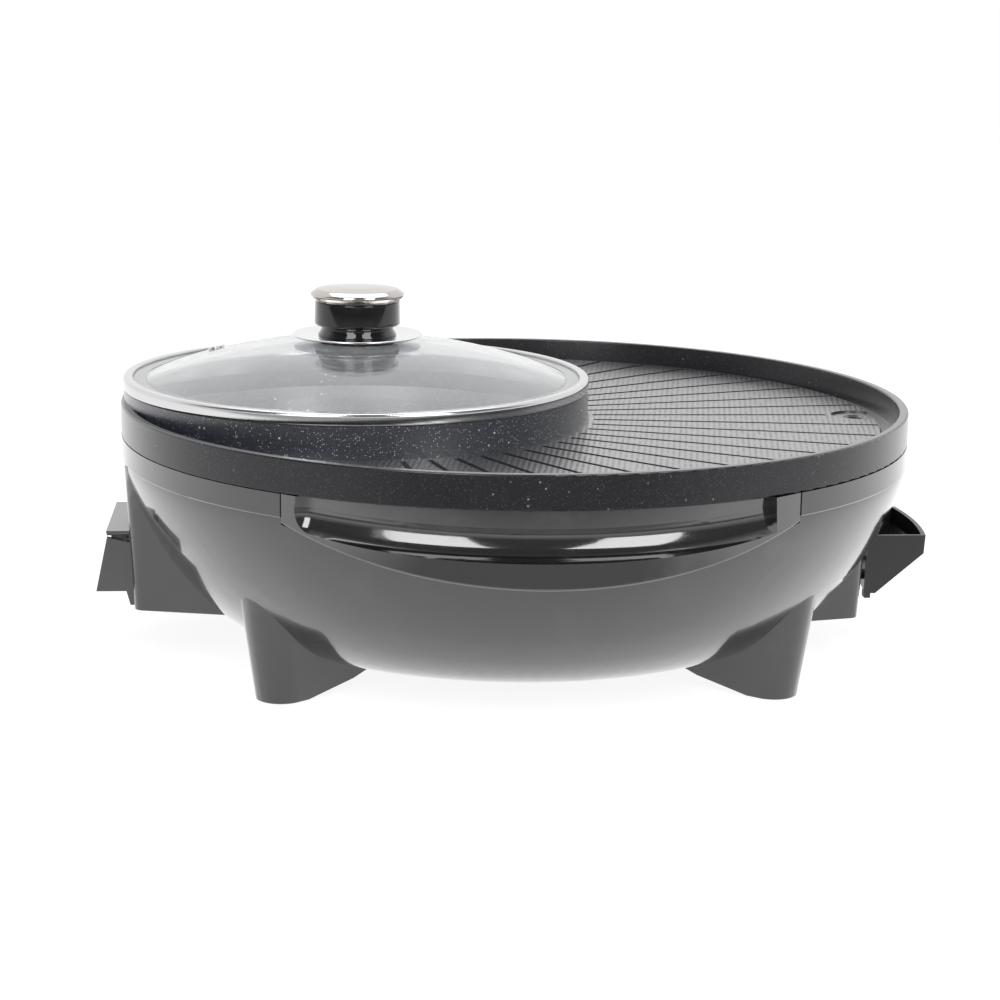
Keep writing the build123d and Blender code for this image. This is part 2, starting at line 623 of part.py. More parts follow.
def grill_element():
    """Sheathed heating tube bent into a crescent hairpin, with a ceramic bush at each end."""
    turn = GRILL_TURN_ANGLE
    outer = CenterArc((0, 0), GRILL_RUN_OUT, -turn, 2 * turn)
    u_turn = JernArc(outer @ 1, outer % 1, (GRILL_RUN_OUT - GRILL_RUN_IN) / 2, 180)
    inner = CenterArc((0, 0), GRILL_RUN_IN, turn, -2 * turn)
    path = Pos(0, 0, GRILL_TUBE_Z) * Wire([outer, u_turn, inner])
    return tube_along(path, TUBE_R)


def grill_bushes():
    """Ceramic end blocks that stand on the shield and hold the grill element's two ends."""
    bushes = []
    for run in (GRILL_RUN_OUT, GRILL_RUN_IN):
        bush = block((run - 6, run + 6), (-12, 0), (PLATE_Z + PLATE_T, GRILL_TUBE_Z + 4.4))
        bush -= Pos(run, -6, GRILL_TUBE_Z) * Rot(-90, 0, 0) * disc(TUBE_R, 0, 10)
        bush -= Pos(run, -6, 0) * disc(2.0, PLATE_Z - 1, PLATE_Z + 8)
        bushes.append(Rot(0, 0, -GRILL_TURN_ANGLE) * bush)
    return Compound(children=bushes)


def pot_element():
    """Sheathed heating tube: an open ring under the pot, its two tails run out towards the socket."""
    centre_x = POT_X - sqrt((POT_RING_R + POT_BEND_R) ** 2 - (PIN_Y + POT_BEND_R) ** 2)
    start = degrees(atan2(-(PIN_Y + POT_BEND_R), centre_x - POT_X))
    turn = 180 + start
    tail_in = Line((TAIL_END_X, -PIN_Y), (centre_x, -PIN_Y))
    bend_in = JernArc(tail_in @ 1, tail_in % 1, POT_BEND_R, -(90 - turn))
    loop = CenterArc((POT_X, 0), POT_RING_R, start, -2 * start)
    bend_out = JernArc(loop @ 1, loop % 1, POT_BEND_R, -(90 - turn))
    tail_out = Line(bend_out @ 1, (TAIL_END_X, PIN_Y))
    path = Pos(0, 0, POT_TUBE_Z) * Wire([tail_in, bend_in, loop, bend_out, tail_out])
    return tube_along(path, TUBE_R)


def clip(floor, tube_z, cap):
    """A bent steel clip on +X at zero: a foot, and a plate with a hole for the tube that runs along Y."""
    plate = block((-7, 7), (-0.75, 0.75), (floor, tube_z + TUBE_R + cap))
    plate = fillet(plate.edges().filter_by(Axis.Y).group_by(Axis.Z)[-1], 3.5)
    foot = block((-7, 7), (-0.75, 9), (floor, floor + 1.2))
    hole = Pos(0, 4, tube_z) * Rot(90, 0, 0) * disc(TUBE_R + 0.1, 0, 8)
    return plate + foot - hole


def element_clips():
    clips = []
    grill_clip = clip(PLATE_Z + PLATE_T, GRILL_TUBE_Z, 1.8)
    for run, angles in GRILL_CLIPS:
        clips += around(Pos(run, 0, 0) * grill_clip, angles)
    pot_clip = clip(WELL_PROFILE[0][1] + PLATE_T, POT_TUBE_Z, 1.4)
    clips += [Pos(POT_X, 0, 0) * one for one in around(Pos(POT_RING_R, 0, 0) * pot_clip, POT_CLIP_ANGLES)]
    return Compound(children=clips)


# ---------------------------------------------------------------- thermostat socket
def socket_housing():
    """Open-fronted shroud on the side block: two leaning cheeks, a floor and a windowed back."""
    outline = [(socket_face_x(SOCKET_LOW), SOCKET_LOW), (-SOCKET_OUT_LOW, SOCKET_LOW), (-SOCKET_OUT_TOP, SOCKET_TOP),
               (socket_face_x(62.4), 62.4)]
    body = slab(outline, SOCKET_HALF)
    hollow = block((-230, -205.0), (-SOCKET_HALF + SOCKET_WALL, SOCKET_HALF - SOCKET_WALL),
                   (SOCKET_LOW + SOCKET_WALL, 80))
    body -= hollow
    body -= block((-210, -190), *WINDOW)
    for y in (-SOCKET_HALF, SOCKET_HALF - SOCKET_WALL):
        body += slab_at([(socket_face_x(CHEEK_LOW), CHEEK_LOW), (-203.0, CHEEK_LOW), (-205.0, SOCKET_LOW),
                         (socket_face_x(SOCKET_LOW), SOCKET_LOW)], y, y + SOCKET_WALL)
    return body


def slab_at(points, y_low, y_high):
    """Extrude a closed outline of (x, z) points from one Y to another."""
    face = make_face(Plane.XZ * Polyline(*points, close=True))
    return Pos(0, y_low, 0) * extrude(face, y_high - y_low, dir=(0, 1, 0))


def socket_shelf():
    """Top plate over the socket, with a bevelled edge and two ribs that stand inside the cheeks."""
    half = SOCKET_HALF + 0.4
    plate = slab([(socket_face_x(SHELF_LOW), SHELF_LOW), (-SOCKET_OUT_TOP, SHELF_LOW),
                  (-SOCKET_OUT_TOP - 0.4, SHELF_TOP), (socket_face_x(SHELF_TOP), SHELF_TOP)], half)
    sides = plate.faces().filter_by(Axis.Y)
    edges = [edge for face in sides for edge in face.edges().filter_by(Axis.X) if edge.center().Z < SHELF_LOW + 0.1]
    plate = chamfer(edges, 1.0)
    inner = SOCKET_HALF - SOCKET_WALL
    for y in (-inner, inner - 2.4):
        plate += block((-212.6, -207.3), (y + 0.05, y + 2.35), (57, SHELF_LOW))
    return plate


def socket_insulator():
    """Ceramic block in the window that holds the two pins and the probe sleeve apart."""
    (y_low, y_high), (z_low, z_high) = WINDOW
    body = block((-207, -196.6), (y_low + 0.2, y_high - 0.2), (z_low + 0.2, z_high - 0.2))
    body += block((-196.6, -193.6), (y_low - 3, y_high + 3), (z_low - 2.5, z_high + 2.5))
    body = fillet(body.edges().filter_by(Axis.X).group_by(Axis.X)[0], 3)
    for y in (-PIN_Y, PIN_Y):
        body -= rod(PIN_SHANK_R, (-215, y, SOCKET_Z), 30)
    return body - rod(SLEEVE_R, (-215, 0, SOCKET_Z), 30)


def terminal_pins():
    """Two round contact pins with rounded tips."""
    pins = []
    for y in (-PIN_Y, PIN_Y):
        tip = rod(PIN_R, (-PIN_TIP, y, SOCKET_Z), PIN_TIP - 206.9)
        tip = fillet(tip.edges().sort_by(Axis.X)[0], 1.6)
        pins.append(tip + rod(PIN_SHANK_R, (-206.9, y, SOCKET_Z), 206.9 - PIN_END))
    return Compound(children=pins)


def probe_sleeve():
    """Tube that guides the thermostat's probe under the pot, closed at its inner end."""
    length = 212 - 122
    sleeve = rod(SLEEVE_R, (-212, 0, SOCKET_Z), length)
    return sleeve - rod(PROBE_R, (-213, 0, SOCKET_Z), length - 2)


def sensor_foot():
    """Aluminium foot on the sleeve's inner end that carries the pot's heat to the probe."""
    foot = Pos(-131, 0, 0) * disc(8, SOCKET_Z, POT_LOW - 0.4)
    return foot - rod(SLEEVE_R, (-150, 0, SOCKET_Z), 40)


def thermal_cutout():
    """Round safety cut-out with its two tabs, clipped under the shield's plate."""
    body = disc(8, PLATE_Z - 9, PLATE_Z - 0.8) + ring(8, 11, PLATE_Z - 0.8, PLATE_Z) + disc(8.5, PLATE_Z - 0.8, PLATE_Z)
    for y in (-4, 4):
        body += block((-1, 1), (y - 1.5, y + 1.5), (PLATE_Z - 17, PLATE_Z - 9))
    return Pos(60, -60, 0) * body


def lead_wires():
    """Sleeved leads from the pins to the pot element's tails and to the grill element's two ends."""
    out_run, in_run = (grill_end(GRILL_RUN_OUT), grill_end(GRILL_RUN_IN))
    start = -PIN_END + 0.1
    drop = start + 2.5
    routes = [
        [(start, -PIN_Y, SOCKET_Z), (drop, -PIN_Y, SOCKET_Z), (drop, -18, 37), (-156, -29, 36), (-136, -70, 33),
         (-80, -130, 36), (out_run[0] - 6, out_run[1] + 8, 60), (out_run[0], out_run[1], 88)],
        [(start, PIN_Y, SOCKET_Z), (drop, PIN_Y, SOCKET_Z), (drop, 18, 37), (-156, 26, 36), (-90, -40, 28),
         (-30, -90, 34), (in_run[0], in_run[1] + 4, 62), (in_run[0], in_run[1], 88)],
    ]
    wires = []
    for points in routes:
        wires.append(tube_along(FilletPolyline(*points, radius=2.2), 1.5))
    return Compound(children=wires)


# ---------------------------------------------------------------- drip tray and chute
def tray_outline(wall):
    """The tray's section as (radius, height), moved in by wall; the inner side follows the bowl."""
    inner = [(194.2, TRAY_TOP), (190.8, 58.0), (189.6, 50.0)]
    outline = [(r + wall, z) for r, z in inner]
    outline += [(189.3 + wall, TRAY_LOW + wall), (195.4 + wall * 0.3, TRAY_LOW + wall),
                (TRAY_OUT - 0.6 - wall, 55 + wall * 0.4), (TRAY_OUT - wall, TRAY_TOP)]
    if wall:
        outline = [(r, z + 4 if z == TRAY_TOP else z) for r, z in outline]
    return outline


def drip_tray():
    """Open-topped tray, curved round the bowl, on two tongues that push into the side block."""
    side = block((170, 240), (-TRAY_HALF, TRAY_HALF), (0, 100))
    inside = block((170, 240), (-TRAY_HALF + TRAY_WALL, TRAY_HALF - TRAY_WALL), (0, 100))
    tray = (turned(tray_outline(0)) & side) - (turned(tray_outline(TRAY_WALL)) & inside)
    tray += block((205, 206.6), (-TRAY_HALF + 1, -TRAY_HALF + 7), (46, 60))
    for y in (-TONGUE_Y, TONGUE_Y):
        tray += block((176, 189.6), (y - 3.5, y + 3.5), (TONGUE_Z - 2, TONGUE_Z + 2))
    for y in (-TRAY_HALF + 3, TRAY_HALF - 3):
        tray += block((186.4, 189.6), (y - 3, y + 3), (TRAY_LOW - 2.6, TRAY_LOW + 1))
    return tray


CHUTE_POINTS = ((DRAIN_X, 0, 98), (DRAIN_X, 0, 88.5), (205.0, 0, 75.7))


def chute_run(radius, bore=0.0):
    return tube_along(FilletPolyline(*CHUTE_POINTS, radius=6), radius, bore)


def drain_chute():
    """Funnel under the pan's drain, with a spout that leads through the bowl's wall."""
    funnel = turned([(CHUTE_BORE, 98), (CHUTE_R, 98), (12.4, 110), (11.4, 110), (CHUTE_BORE, 99.2)])
    return Pos(DRAIN_X, 0, 0) * funnel + chute_run(CHUTE_R, CHUTE_BORE)


# ---------------------------------------------------------------- write every piece
PIECES = {
    "base_shell": base_shell,
    "bottom_cover": bottom_cover,
    "bottom_screws": bottom_screws,
    "rubber_feet": rubber_feet,
    "handle_front": handle,
    "handle_rear": lambda: Rot(0, 0, 180) * handle(),
    "handle_screws": handle_screws,
    "grill_pot_pan": pan,
    "pan_vessel": pan_vessel,
    "pan_wall": pan_wall,
    "lid_glass": lid_glass,
    "lid_rim": lid_rim,
    "lid_vent": lid_vent,
    "lid_gasket": lid_gasket,
    "lid_knob_flange": lid_knob_flange,
    "lid_knob_body": lid_knob_body,
    "lid_knob_cap": lid_knob_cap,
    "lid_under_cup": lid_under_cup,
    "lid_screw": lid_screw,
    "heat_shield": heat_shield,
    "heat_well": heat_well,
    "shield_screws": shield_screws,
    "grill_element": grill_element,
    "grill_bushes": grill_bushes,
    "pot_element": pot_element,
    "element_clips": element_clips,
    "socket_housing": socket_housing,
    "socket_shelf": socket_shelf,
    "socket_insulator": socket_insulator,
    "terminal_pins": terminal_pins,
    "probe_sleeve": probe_sleeve,
    "sensor_foot": sensor_foot,
    "thermal_cutout": thermal_cutout,
    "lead_wires": lead_wires,
    "drip_tray": drip_tray,
    "drain_chute": drain_chute,
}

if __name__ == "__main__":
    for node, make in PIECES.items():
        save(make(), node)
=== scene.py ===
import logging
import math
from dataclasses import dataclass
from enum import Enum
from typing import ClassVar, Iterable, Sequence

import bpy
from mathutils import Matrix, Vector


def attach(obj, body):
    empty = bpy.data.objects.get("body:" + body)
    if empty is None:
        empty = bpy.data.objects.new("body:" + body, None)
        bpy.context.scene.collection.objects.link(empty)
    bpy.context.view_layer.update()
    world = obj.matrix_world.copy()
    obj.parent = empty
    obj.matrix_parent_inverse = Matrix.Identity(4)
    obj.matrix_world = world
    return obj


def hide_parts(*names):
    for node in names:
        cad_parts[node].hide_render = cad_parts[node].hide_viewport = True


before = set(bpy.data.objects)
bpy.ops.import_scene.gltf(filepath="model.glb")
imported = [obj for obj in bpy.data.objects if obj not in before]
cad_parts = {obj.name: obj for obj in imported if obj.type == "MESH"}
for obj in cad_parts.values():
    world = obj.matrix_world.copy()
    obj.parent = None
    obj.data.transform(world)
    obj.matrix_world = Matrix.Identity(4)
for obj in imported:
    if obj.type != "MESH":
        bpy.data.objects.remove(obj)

log = logging.getLogger("table_grill")

MM = 0.001

Colour = tuple[float, float, float]
Place = tuple[float, float, float]
Stops = Sequence[tuple[float, float]]       # (position, grey level) pairs of a ramp

# Sockets of the Mix node by number, because its names repeat from one data type to the next
MIX_NUMBER_A, MIX_NUMBER_B = 2, 3
MIX_COLOUR_A, MIX_COLOUR_B, MIX_COLOUR_RESULT = 6, 7, 2


# ---------------------------------------------------------------------------------- shader tools
class Value:
    """A number in a shader: a socket or a constant, with Python operators that add Math nodes."""

    def __init__(self, shader: "Shader", source: "bpy.types.NodeSocket | float") -> None:
        """Wrap a source.

        Args:
            shader: The shader whose tree takes the Math nodes.
            source: A socket, or a plain number.
        """
        self.shader = shader
        self.source = source

    def math(self, operation: str, *others: "Value | float", clamp: bool = False) -> "Value":
        """Add one Math node.

        Args:
            operation: The node's operation.
            others: The operands after this one.
            clamp: True keeps the result between 0 and 1.

        Returns:
            The node's result.
        """
        operands = dict(enumerate([self, *others]))
        settings = {"operation": operation, "use_clamp": clamp}
        made = self.shader.node("ShaderNodeMath", settings, operands)
        return Value(self.shader, made.outputs[0])

    def __add__(self, other: "Value | float") -> "Value":
        """Sum."""
        return self.math("ADD", other)

    __radd__ = __add__

    def __sub__(self, other: "Value | float") -> "Value":
        """Difference."""
        return self.math("SUBTRACT", other)

    def __rsub__(self, other: "Value | float") -> "Value":
        """Difference with the number on the left."""
        return Value(self.shader, other).math("SUBTRACT", self)

    def __mul__(self, other: "Value | float") -> "Value":
        """Product."""
        return self.math("MULTIPLY", other)

    __rmul__ = __mul__

    def __truediv__(self, other: "Value | float") -> "Value":
        """Quotient."""
        return self.math("DIVIDE", other)

    def above(self, limit: float, soft: float) -> "Value":
        """A mask that rises from 0 at limit to 1 at limit + soft."""
        return ((self - limit) / soft).math("MULTIPLY", 1.0, clamp=True)


class Shader:
    """The node tree of one material or of the world, with the few calls that the finishes use."""

    def __init__(self, name: str, world: bool = False) -> None:
        """Make an empty material or world.

        Args:
            name: Its name.
            world: True makes a world.
        """
        self.owner = bpy.data.worlds.new(name) if world else bpy.data.materials.new(name)
        self.owner.use_nodes = True
        self.tree = self.owner.node_tree
        self.tree.nodes.clear()

    def node(self, kind: str, settings: "dict | None" = None,
             inputs: "dict | None" = None) -> bpy.types.Node:
        """Add a node.

        Args:
            kind: The node's type.
            settings: Attributes, set before the sockets. "stops" fills a colour ramp.
            inputs: Socket name or number to a value, a socket or a Value.

        Returns:
            The new node.
        """
        made = self.tree.nodes.new(kind)
        for key, value in (settings or {}).items():
            if key == "stops":
                self._fill_ramp(made.color_ramp, value)
            else:
                setattr(made, key, value)
        for key, value in (inputs or {}).items():
            source = value.source if isinstance(value, Value) else value
            if isinstance(source, bpy.types.NodeSocket):
                self.tree.links.new(source, made.inputs[key])
            else:
                made.inputs[key].default_value = source
        return made

    @staticmethod
    def _fill_ramp(ramp: bpy.types.ColorRamp, stops: Stops) -> None:
        """Set a grey ramp's stops.

        Args:
            ramp: The ramp.
            stops: (position, grey level) pairs, two or more.
        """
        while len(ramp.elements) < len(stops):
            ramp.elements.new(0.5)
        for element, (position, level) in zip(ramp.elements, stops):
            element.position = position
            element.color = (level, level, level, 1.0)

    def place(self) -> bpy.types.NodeSocket:
        """The point's place on the piece, in metres."""
        return self.node("ShaderNodeTexCoord").outputs["Object"]

    def axes(self, vector: bpy.types.NodeSocket) -> "tuple[Value, Value, Value]":
        """Split a vector into its three numbers."""
        split = self.node("ShaderNodeSeparateXYZ", inputs={0: vector})
        return tuple(Value(self, split.outputs[k]) for k in range(3))

    def moved(self, vector: bpy.types.NodeSocket, place: Sequence[float] = (0.0, 0.0, 0.0),
              scale: Sequence[float] = (1.0, 1.0, 1.0)) -> bpy.types.NodeSocket:
        """Centre or stretch a pattern's coordinates with a Mapping node."""
        inputs = {"Vector": vector, "Location": place, "Scale": scale}
        return self.node("ShaderNodeMapping", inputs=inputs).outputs["Vector"]

    def noise(self, vector: bpy.types.NodeSocket, scale: float, detail: float = 2.0,
              rough: float = 0.5) -> Value:
        """A Noise texture's value, from 0 to 1; scale counts its waves to the metre."""
        inputs = {"Vector": vector, "Scale": scale, "Detail": detail, "Roughness": rough}
        return Value(self, self.node("ShaderNodeTexNoise", inputs=inputs).outputs["Fac"])

    def cells(self, vector: bpy.types.NodeSocket,
              scale: float) -> "tuple[Value, bpy.types.NodeSocket]":
        """A Voronoi texture's distance, and its random colour; scale counts cells to the metre."""
        made = self.node("ShaderNodeTexVoronoi", inputs={"Vector": vector, "Scale": scale})
        return Value(self, made.outputs["Distance"]), made.outputs["Color"]

    def facing(self, axis: int) -> Value:
        """How far the surface faces along the X, Y or Z axis (0, 1 or 2), from -1 to 1."""
        return self.axes(self.node("ShaderNodeNewGeometry").outputs["Normal"])[axis]

    def ramp(self, value: Value, stops: Stops) -> Value:
        """Pass a number through a grey ramp."""
        made = self.node("ShaderNodeValToRGB", {"stops": stops}, {0: value})
        return Value(self, made.outputs["Color"])

    def blend(self, mask: Value, low: "Colour | bpy.types.NodeSocket",
              high: "Colour | bpy.types.NodeSocket") -> bpy.types.NodeSocket:
        """Mix two colours.

        Args:
            mask: 0 gives low and 1 gives high.
            low: A colour, or the socket of one.
            high: A colour, or the socket of one.

        Returns:
            The mixed colour.
        """
        made = self.node("ShaderNodeMix", {"data_type": "RGBA"}, {"Factor": mask})
        for slot, colour in ((MIX_COLOUR_A, low), (MIX_COLOUR_B, high)):
            if isinstance(colour, bpy.types.NodeSocket):
                self.tree.links.new(colour, made.inputs[slot])
            else:
                made.inputs[slot].default_value = (*colour, 1.0)
        return made.outputs[MIX_COLOUR_RESULT]

    def bump(self, height: Value, strength: float, depth: float,
             under: "bpy.types.NodeSocket | None" = None) -> bpy.types.NodeSocket:
        """A normal with a height pattern on it.

        Args:
            height: The pattern.
            strength: The Bump node's strength.
            depth: The pattern's depth in metres.
            under: A normal that this one builds on.

        Returns:
            The normal.
        """
        inputs = {"Height": height, "Strength": strength, "Distance": depth}
        if under is not None:
            inputs["Normal"] = under
        return self.node("ShaderNodeBump", inputs=inputs).outputs["Normal"]

    def surface(self, **sockets: object) -> bpy.types.Material:
        """Finish with one Principled shader.

        Args:
            sockets: Its inputs, with underscores for the spaces in their names.

        Returns:
            The material.
        """
        inputs = {}
        for key, value in sockets.items():
            name = key.replace("_", " ")
            is_colour = isinstance(value, tuple) and len(value) == 3
            inputs[name] = (*value, 1.0) if is_colour else value
        return self.finish(self.node("ShaderNodeBsdfPrincipled", inputs=inputs).outputs[0])

    def finish(self, closure: bpy.types.NodeSocket) -> "bpy.types.Material | bpy.types.World":
        """Lead a shader to the output and hand back the material or world."""
        is_world = isinstance(self.owner, bpy.types.World)
        output = self.node("ShaderNodeOutputWorld" if is_world else "ShaderNodeOutputMaterial")
        self.tree.links.new(closure, output.inputs["Surface"])
        return self.owner

    def choose(self, mask: Value, low: "Value | float", high: "Value | float") -> Value:
        """Mix two numbers: mask 0 gives low and 1 gives high."""
        inputs = {0: mask, MIX_NUMBER_A: low, MIX_NUMBER_B: high}
        return Value(self, self.node("ShaderNodeMix", inputs=inputs).outputs[0])


# ---------------------------------------------------------------------------------- finishes
@dataclass(frozen=True)
class Finish:
    """A surface finish. Equal finishes share one material."""

    name: str

    def build(self) -> bpy.types.Material:
        """Make the material; each finish has its own."""
        raise NotImplementedError

    def material(self) -> bpy.types.Material:
        """The finish's material, made at its first use."""
        return bpy.data.materials.get(self.name) or self.build()


@dataclass(frozen=True)
class MouldedPlastic(Finish):
    """High-gloss injection moulding: slow waves in the surface, smudges and a little dust."""

    colour: Colour = (0.012, 0.012, 0.013)
    roughness: float = 0.06
    coat_roughness: float = 0.02
    ior: float = 1.6
    peel: float = 0.30                  # strength of the surface's slow waves
    dust: float = 0.12                  # how strongly a speck of dust shows
    sole_roughness: float = 0.0         # more roughness on the faces that look down

    WAVE_SCALE: ClassVar[float] = 42.0
    GRAIN_SCALE: ClassVar[float] = 900.0
    GRAIN_SHARE: ClassVar[float] = 0.04
    WAVE_DEPTH: ClassVar[float] = 0.0004
    SMUDGE_SCALE: ClassVar[float] = 26.0
    SMUDGE_ROUGHNESS: ClassVar[float] = 0.16
    WIPE_SCALE: ClassVar[float] = 60.0
    WIPE_STRETCH: ClassVar[Place] = (0.5, 0.5, 5.0)
    WIPE_ROUGHNESS: ClassVar[float] = 0.08
    SPECK_SCALE: ClassVar[float] = 420.0
    SPECK_R: ClassVar[float] = 0.04
    SPECK_COLOUR: ClassVar[Colour] = (0.35, 0.34, 0.32)
    SPECK_ROUGHNESS: ClassVar[float] = 0.5
    POLISH_GAIN: ClassVar[float] = 0.02     # smoother than its roughness where nothing smudges it

    def build(self) -> bpy.types.Material:
        """A dark gloss with smudged patches that are rougher and a shade paler."""
        shader = Shader(self.name)
        place = shader.place()
        wave = shader.noise(place, self.WAVE_SCALE, 1.0)
        grain = shader.noise(place, self.GRAIN_SCALE, 2.0)
        smudge = shader.noise(place, self.SMUDGE_SCALE, 5.0, 0.66).above(0.52, 0.22)
        streaks = shader.moved(place, scale=self.WIPE_STRETCH)
        wiped = shader.noise(streaks, self.WIPE_SCALE, 3.0, 0.6)
        distance, _ = shader.cells(place, self.SPECK_SCALE)
        speck = (1.0 - distance.above(self.SPECK_R, self.SPECK_R)) * self.dust
        paler = tuple(min(1.0, c * 1.5 + 0.012) for c in self.colour)
        colour = shader.blend(smudge, self.colour, paler)
        normal = shader.bump(wave * 0.8 + grain * self.GRAIN_SHARE, self.peel, self.WAVE_DEPTH)
        sole = (shader.facing(2) * -1.0).above(0.55, 0.1) * self.sole_roughness
        touched = smudge * self.SMUDGE_ROUGHNESS + wiped * self.WIPE_ROUGHNESS
        return shader.surface(
            Base_Color=shader.blend(speck, colour, self.SPECK_COLOUR),
            Roughness=(touched + (self.roughness - self.POLISH_GAIN)
                       + speck * self.SPECK_ROUGHNESS + sole),
            IOR=self.ior, Coat_Weight=1.0, Coat_Roughness=self.coat_roughness,
            Coat_IOR=self.ior, Normal=normal)


@dataclass(frozen=True)
class SatinPlastic(Finish):
    """Moulded plastic with a fine spark-eroded grain."""

    colour: Colour = (0.028, 0.028, 0.031)
    roughness: float = 0.33
    coat: float = 1.0                   # weight of the smoother skin on top

    IOR: ClassVar[float] = 1.5
    COAT_ROUGHNESS: ClassVar[float] = 0.24
    GRAIN_SCALE: ClassVar[float] = 1600.0
    GRAIN_STRENGTH: ClassVar[float] = 0.25
    GRAIN_DEPTH: ClassVar[float] = 0.00008
    SMEAR_SCALE: ClassVar[float] = 30.0
    SMEAR_ROUGHNESS: ClassVar[float] = 0.12

    def build(self) -> bpy.types.Material:
        """Plain colour with a fine grain in the surface and slow changes of gloss."""
        shader = Shader(self.name)
        place = shader.place()
        grain = shader.noise(place, self.GRAIN_SCALE, 2.0)
        smear = shader.noise(place, self.SMEAR_SCALE, 3.0)
        lighter = tuple(min(1.0, c * 1.5) for c in self.colour)
        mean = self.roughness - self.SMEAR_ROUGHNESS / 2
        return shader.surface(
            Base_Color=shader.blend(smear, self.colour, lighter),
            Roughness=smear * self.SMEAR_ROUGHNESS + mean,
            IOR=self.IOR, Coat_Weight=self.coat, Coat_Roughness=self.COAT_ROUGHNESS,
            Coat_IOR=self.IOR, Normal=shader.bump(grain, self.GRAIN_STRENGTH, self.GRAIN_DEPTH))


@dataclass(frozen=True)
class Flecks:
    """One size of the pale specks in a coat."""

    density: float                      # cells to the metre
    size: float                         # a speck's radius as a share of its cell
    rarity: float                       # the share of cells that stay empty

    CORE: ClassVar[float] = 0.7         # a speck fades from this share of its radius
    FADE: ClassVar[float] = 0.5         # over this share of it
    RARITY_FADE: ClassVar[float] = 0.06

    def mask(self, shader: Shader, place: bpy.types.NodeSocket) -> Value:
        """1 in a speck and 0 between them."""
        distance, random = shader.cells(place, self.density)
        round_speck = 1.0 - distance.above(self.size * self.CORE, self.size * self.FADE)
        return round_speck * shader.axes(random)[0].above(self.rarity, self.RARITY_FADE)


@dataclass(frozen=True)
class CoatedCasting(Finish):
    """Die casting under a dark non-stick coat with pale flecks, its grill ribs hatched on top."""

    colour: Colour = (0.008, 0.008, 0.010)
    fleck: Colour = (0.30, 0.31, 0.34)
    roughness: float = 0.27
    coat_roughness: float = 0.20
    ior: float = 1.30
    fine_share: float = 0.10            # how strongly each size of fleck shows
    small_share: float = 0.30
    large_share: float = 0.9

    FINE_FLECKS: ClassVar[Flecks] = Flecks(density=2300.0, size=0.26, rarity=0.45)
    SMALL_FLECKS: ClassVar[Flecks] = Flecks(density=1000.0, size=0.26, rarity=0.70)
    LARGE_FLECKS: ClassVar[Flecks] = Flecks(density=380.0, size=0.20, rarity=0.86)
    PATCH_SCALE: ClassVar[float] = 30.0
    CLOUD_SCALE: ClassVar[float] = 60.0
    PEBBLE_SCALE: ClassVar[float] = 1300.0
    PEBBLE_DEPTH: ClassVar[float] = 0.00013
    TOP_Z: ClassVar[float] = 0.1237     # the level face of the grill plate carries the hatch
    TOP_TOLERANCE: ClassVar[float] = 0.0003
    HATCH_PITCH: ClassVar[float] = 0.0029
    HATCH_ANGLE: ClassVar[float] = 81.0
    HATCH_DEPTH: ClassVar[float] = 0.00045
    HATCH_SHADE: ClassVar[float] = 0.60
    # colour of the painted shade in the troughs between the hatch strokes
    HATCH_TROUGH_SHADE: ClassVar[Colour] = (0.004, 0.004, 0.005)
    GAP_SCALE: ClassVar[float] = 210.0

    def build(self) -> bpy.types.Material:
        """Flecks in three sizes, a pebbled coat, and slanting strokes on the level top, with
        painted shade between the strokes.
        """
        shader = Shader(self.name)
        place = shader.place()
        x, y, z = shader.axes(place)
        fleck = self._flecks(shader, place)
        cloud = shader.noise(place, self.CLOUD_SCALE, 3.0)
        colour = shader.blend(cloud, self.colour, tuple(c * 1.5 for c in self.colour))
        colour = shader.blend(fleck, colour, self.fleck)
        pebble = shader.noise(place, self.PEBBLE_SCALE, 3.0, 0.6)
        upward = shader.facing(2).above(0.90, 0.05)
        level = z.math("COMPARE", self.TOP_Z, self.TOP_TOLERANCE) * upward
        lean = math.radians(self.HATCH_ANGLE)
        across = x * math.sin(lean) - y * math.cos(lean)
        stroke = (across * (2 * math.pi / self.HATCH_PITCH)).math("SINE") * 0.5 + 0.5
        broken = shader.noise(place, self.GAP_SCALE, 2.0).above(0.36, 0.20)
        # painted shade: the troughs between the hatch strokes get a near-black colour and a thinner
        # coat
        between = (1.0 - stroke).above(0.40, 0.5) * level * broken
        colour = shader.blend(between * self.HATCH_SHADE, colour, self.HATCH_TROUGH_SHADE)
        normal = shader.bump(pebble, 0.40, self.PEBBLE_DEPTH)
        normal = shader.bump(stroke * level, 0.9, self.HATCH_DEPTH, normal)
        return shader.surface(
            Base_Color=colour, Roughness=cloud * 0.06 + fleck * 0.1 + self.roughness,
            IOR=self.ior, Coat_Weight=1.0 - between * self.HATCH_SHADE,
            Coat_Roughness=self.coat_roughness, Coat_IOR=self.ior, Normal=normal)

    def _flecks(self, shader: Shader, place: bpy.types.NodeSocket) -> Value:
        """All flecks, each size at its own strength; the large ones come in patches."""
        fine = self.FINE_FLECKS.mask(shader, place) * self.fine_share
        small = self.SMALL_FLECKS.mask(shader, place) * self.small_share
        patch = shader.noise(place, self.PATCH_SCALE, 2.0).above(0.44, 0.15)
        large = self.LARGE_FLECKS.mask(shader, place) * patch * self.large_share
        return fine.math("MAXIMUM", small).math("MAXIMUM", large)


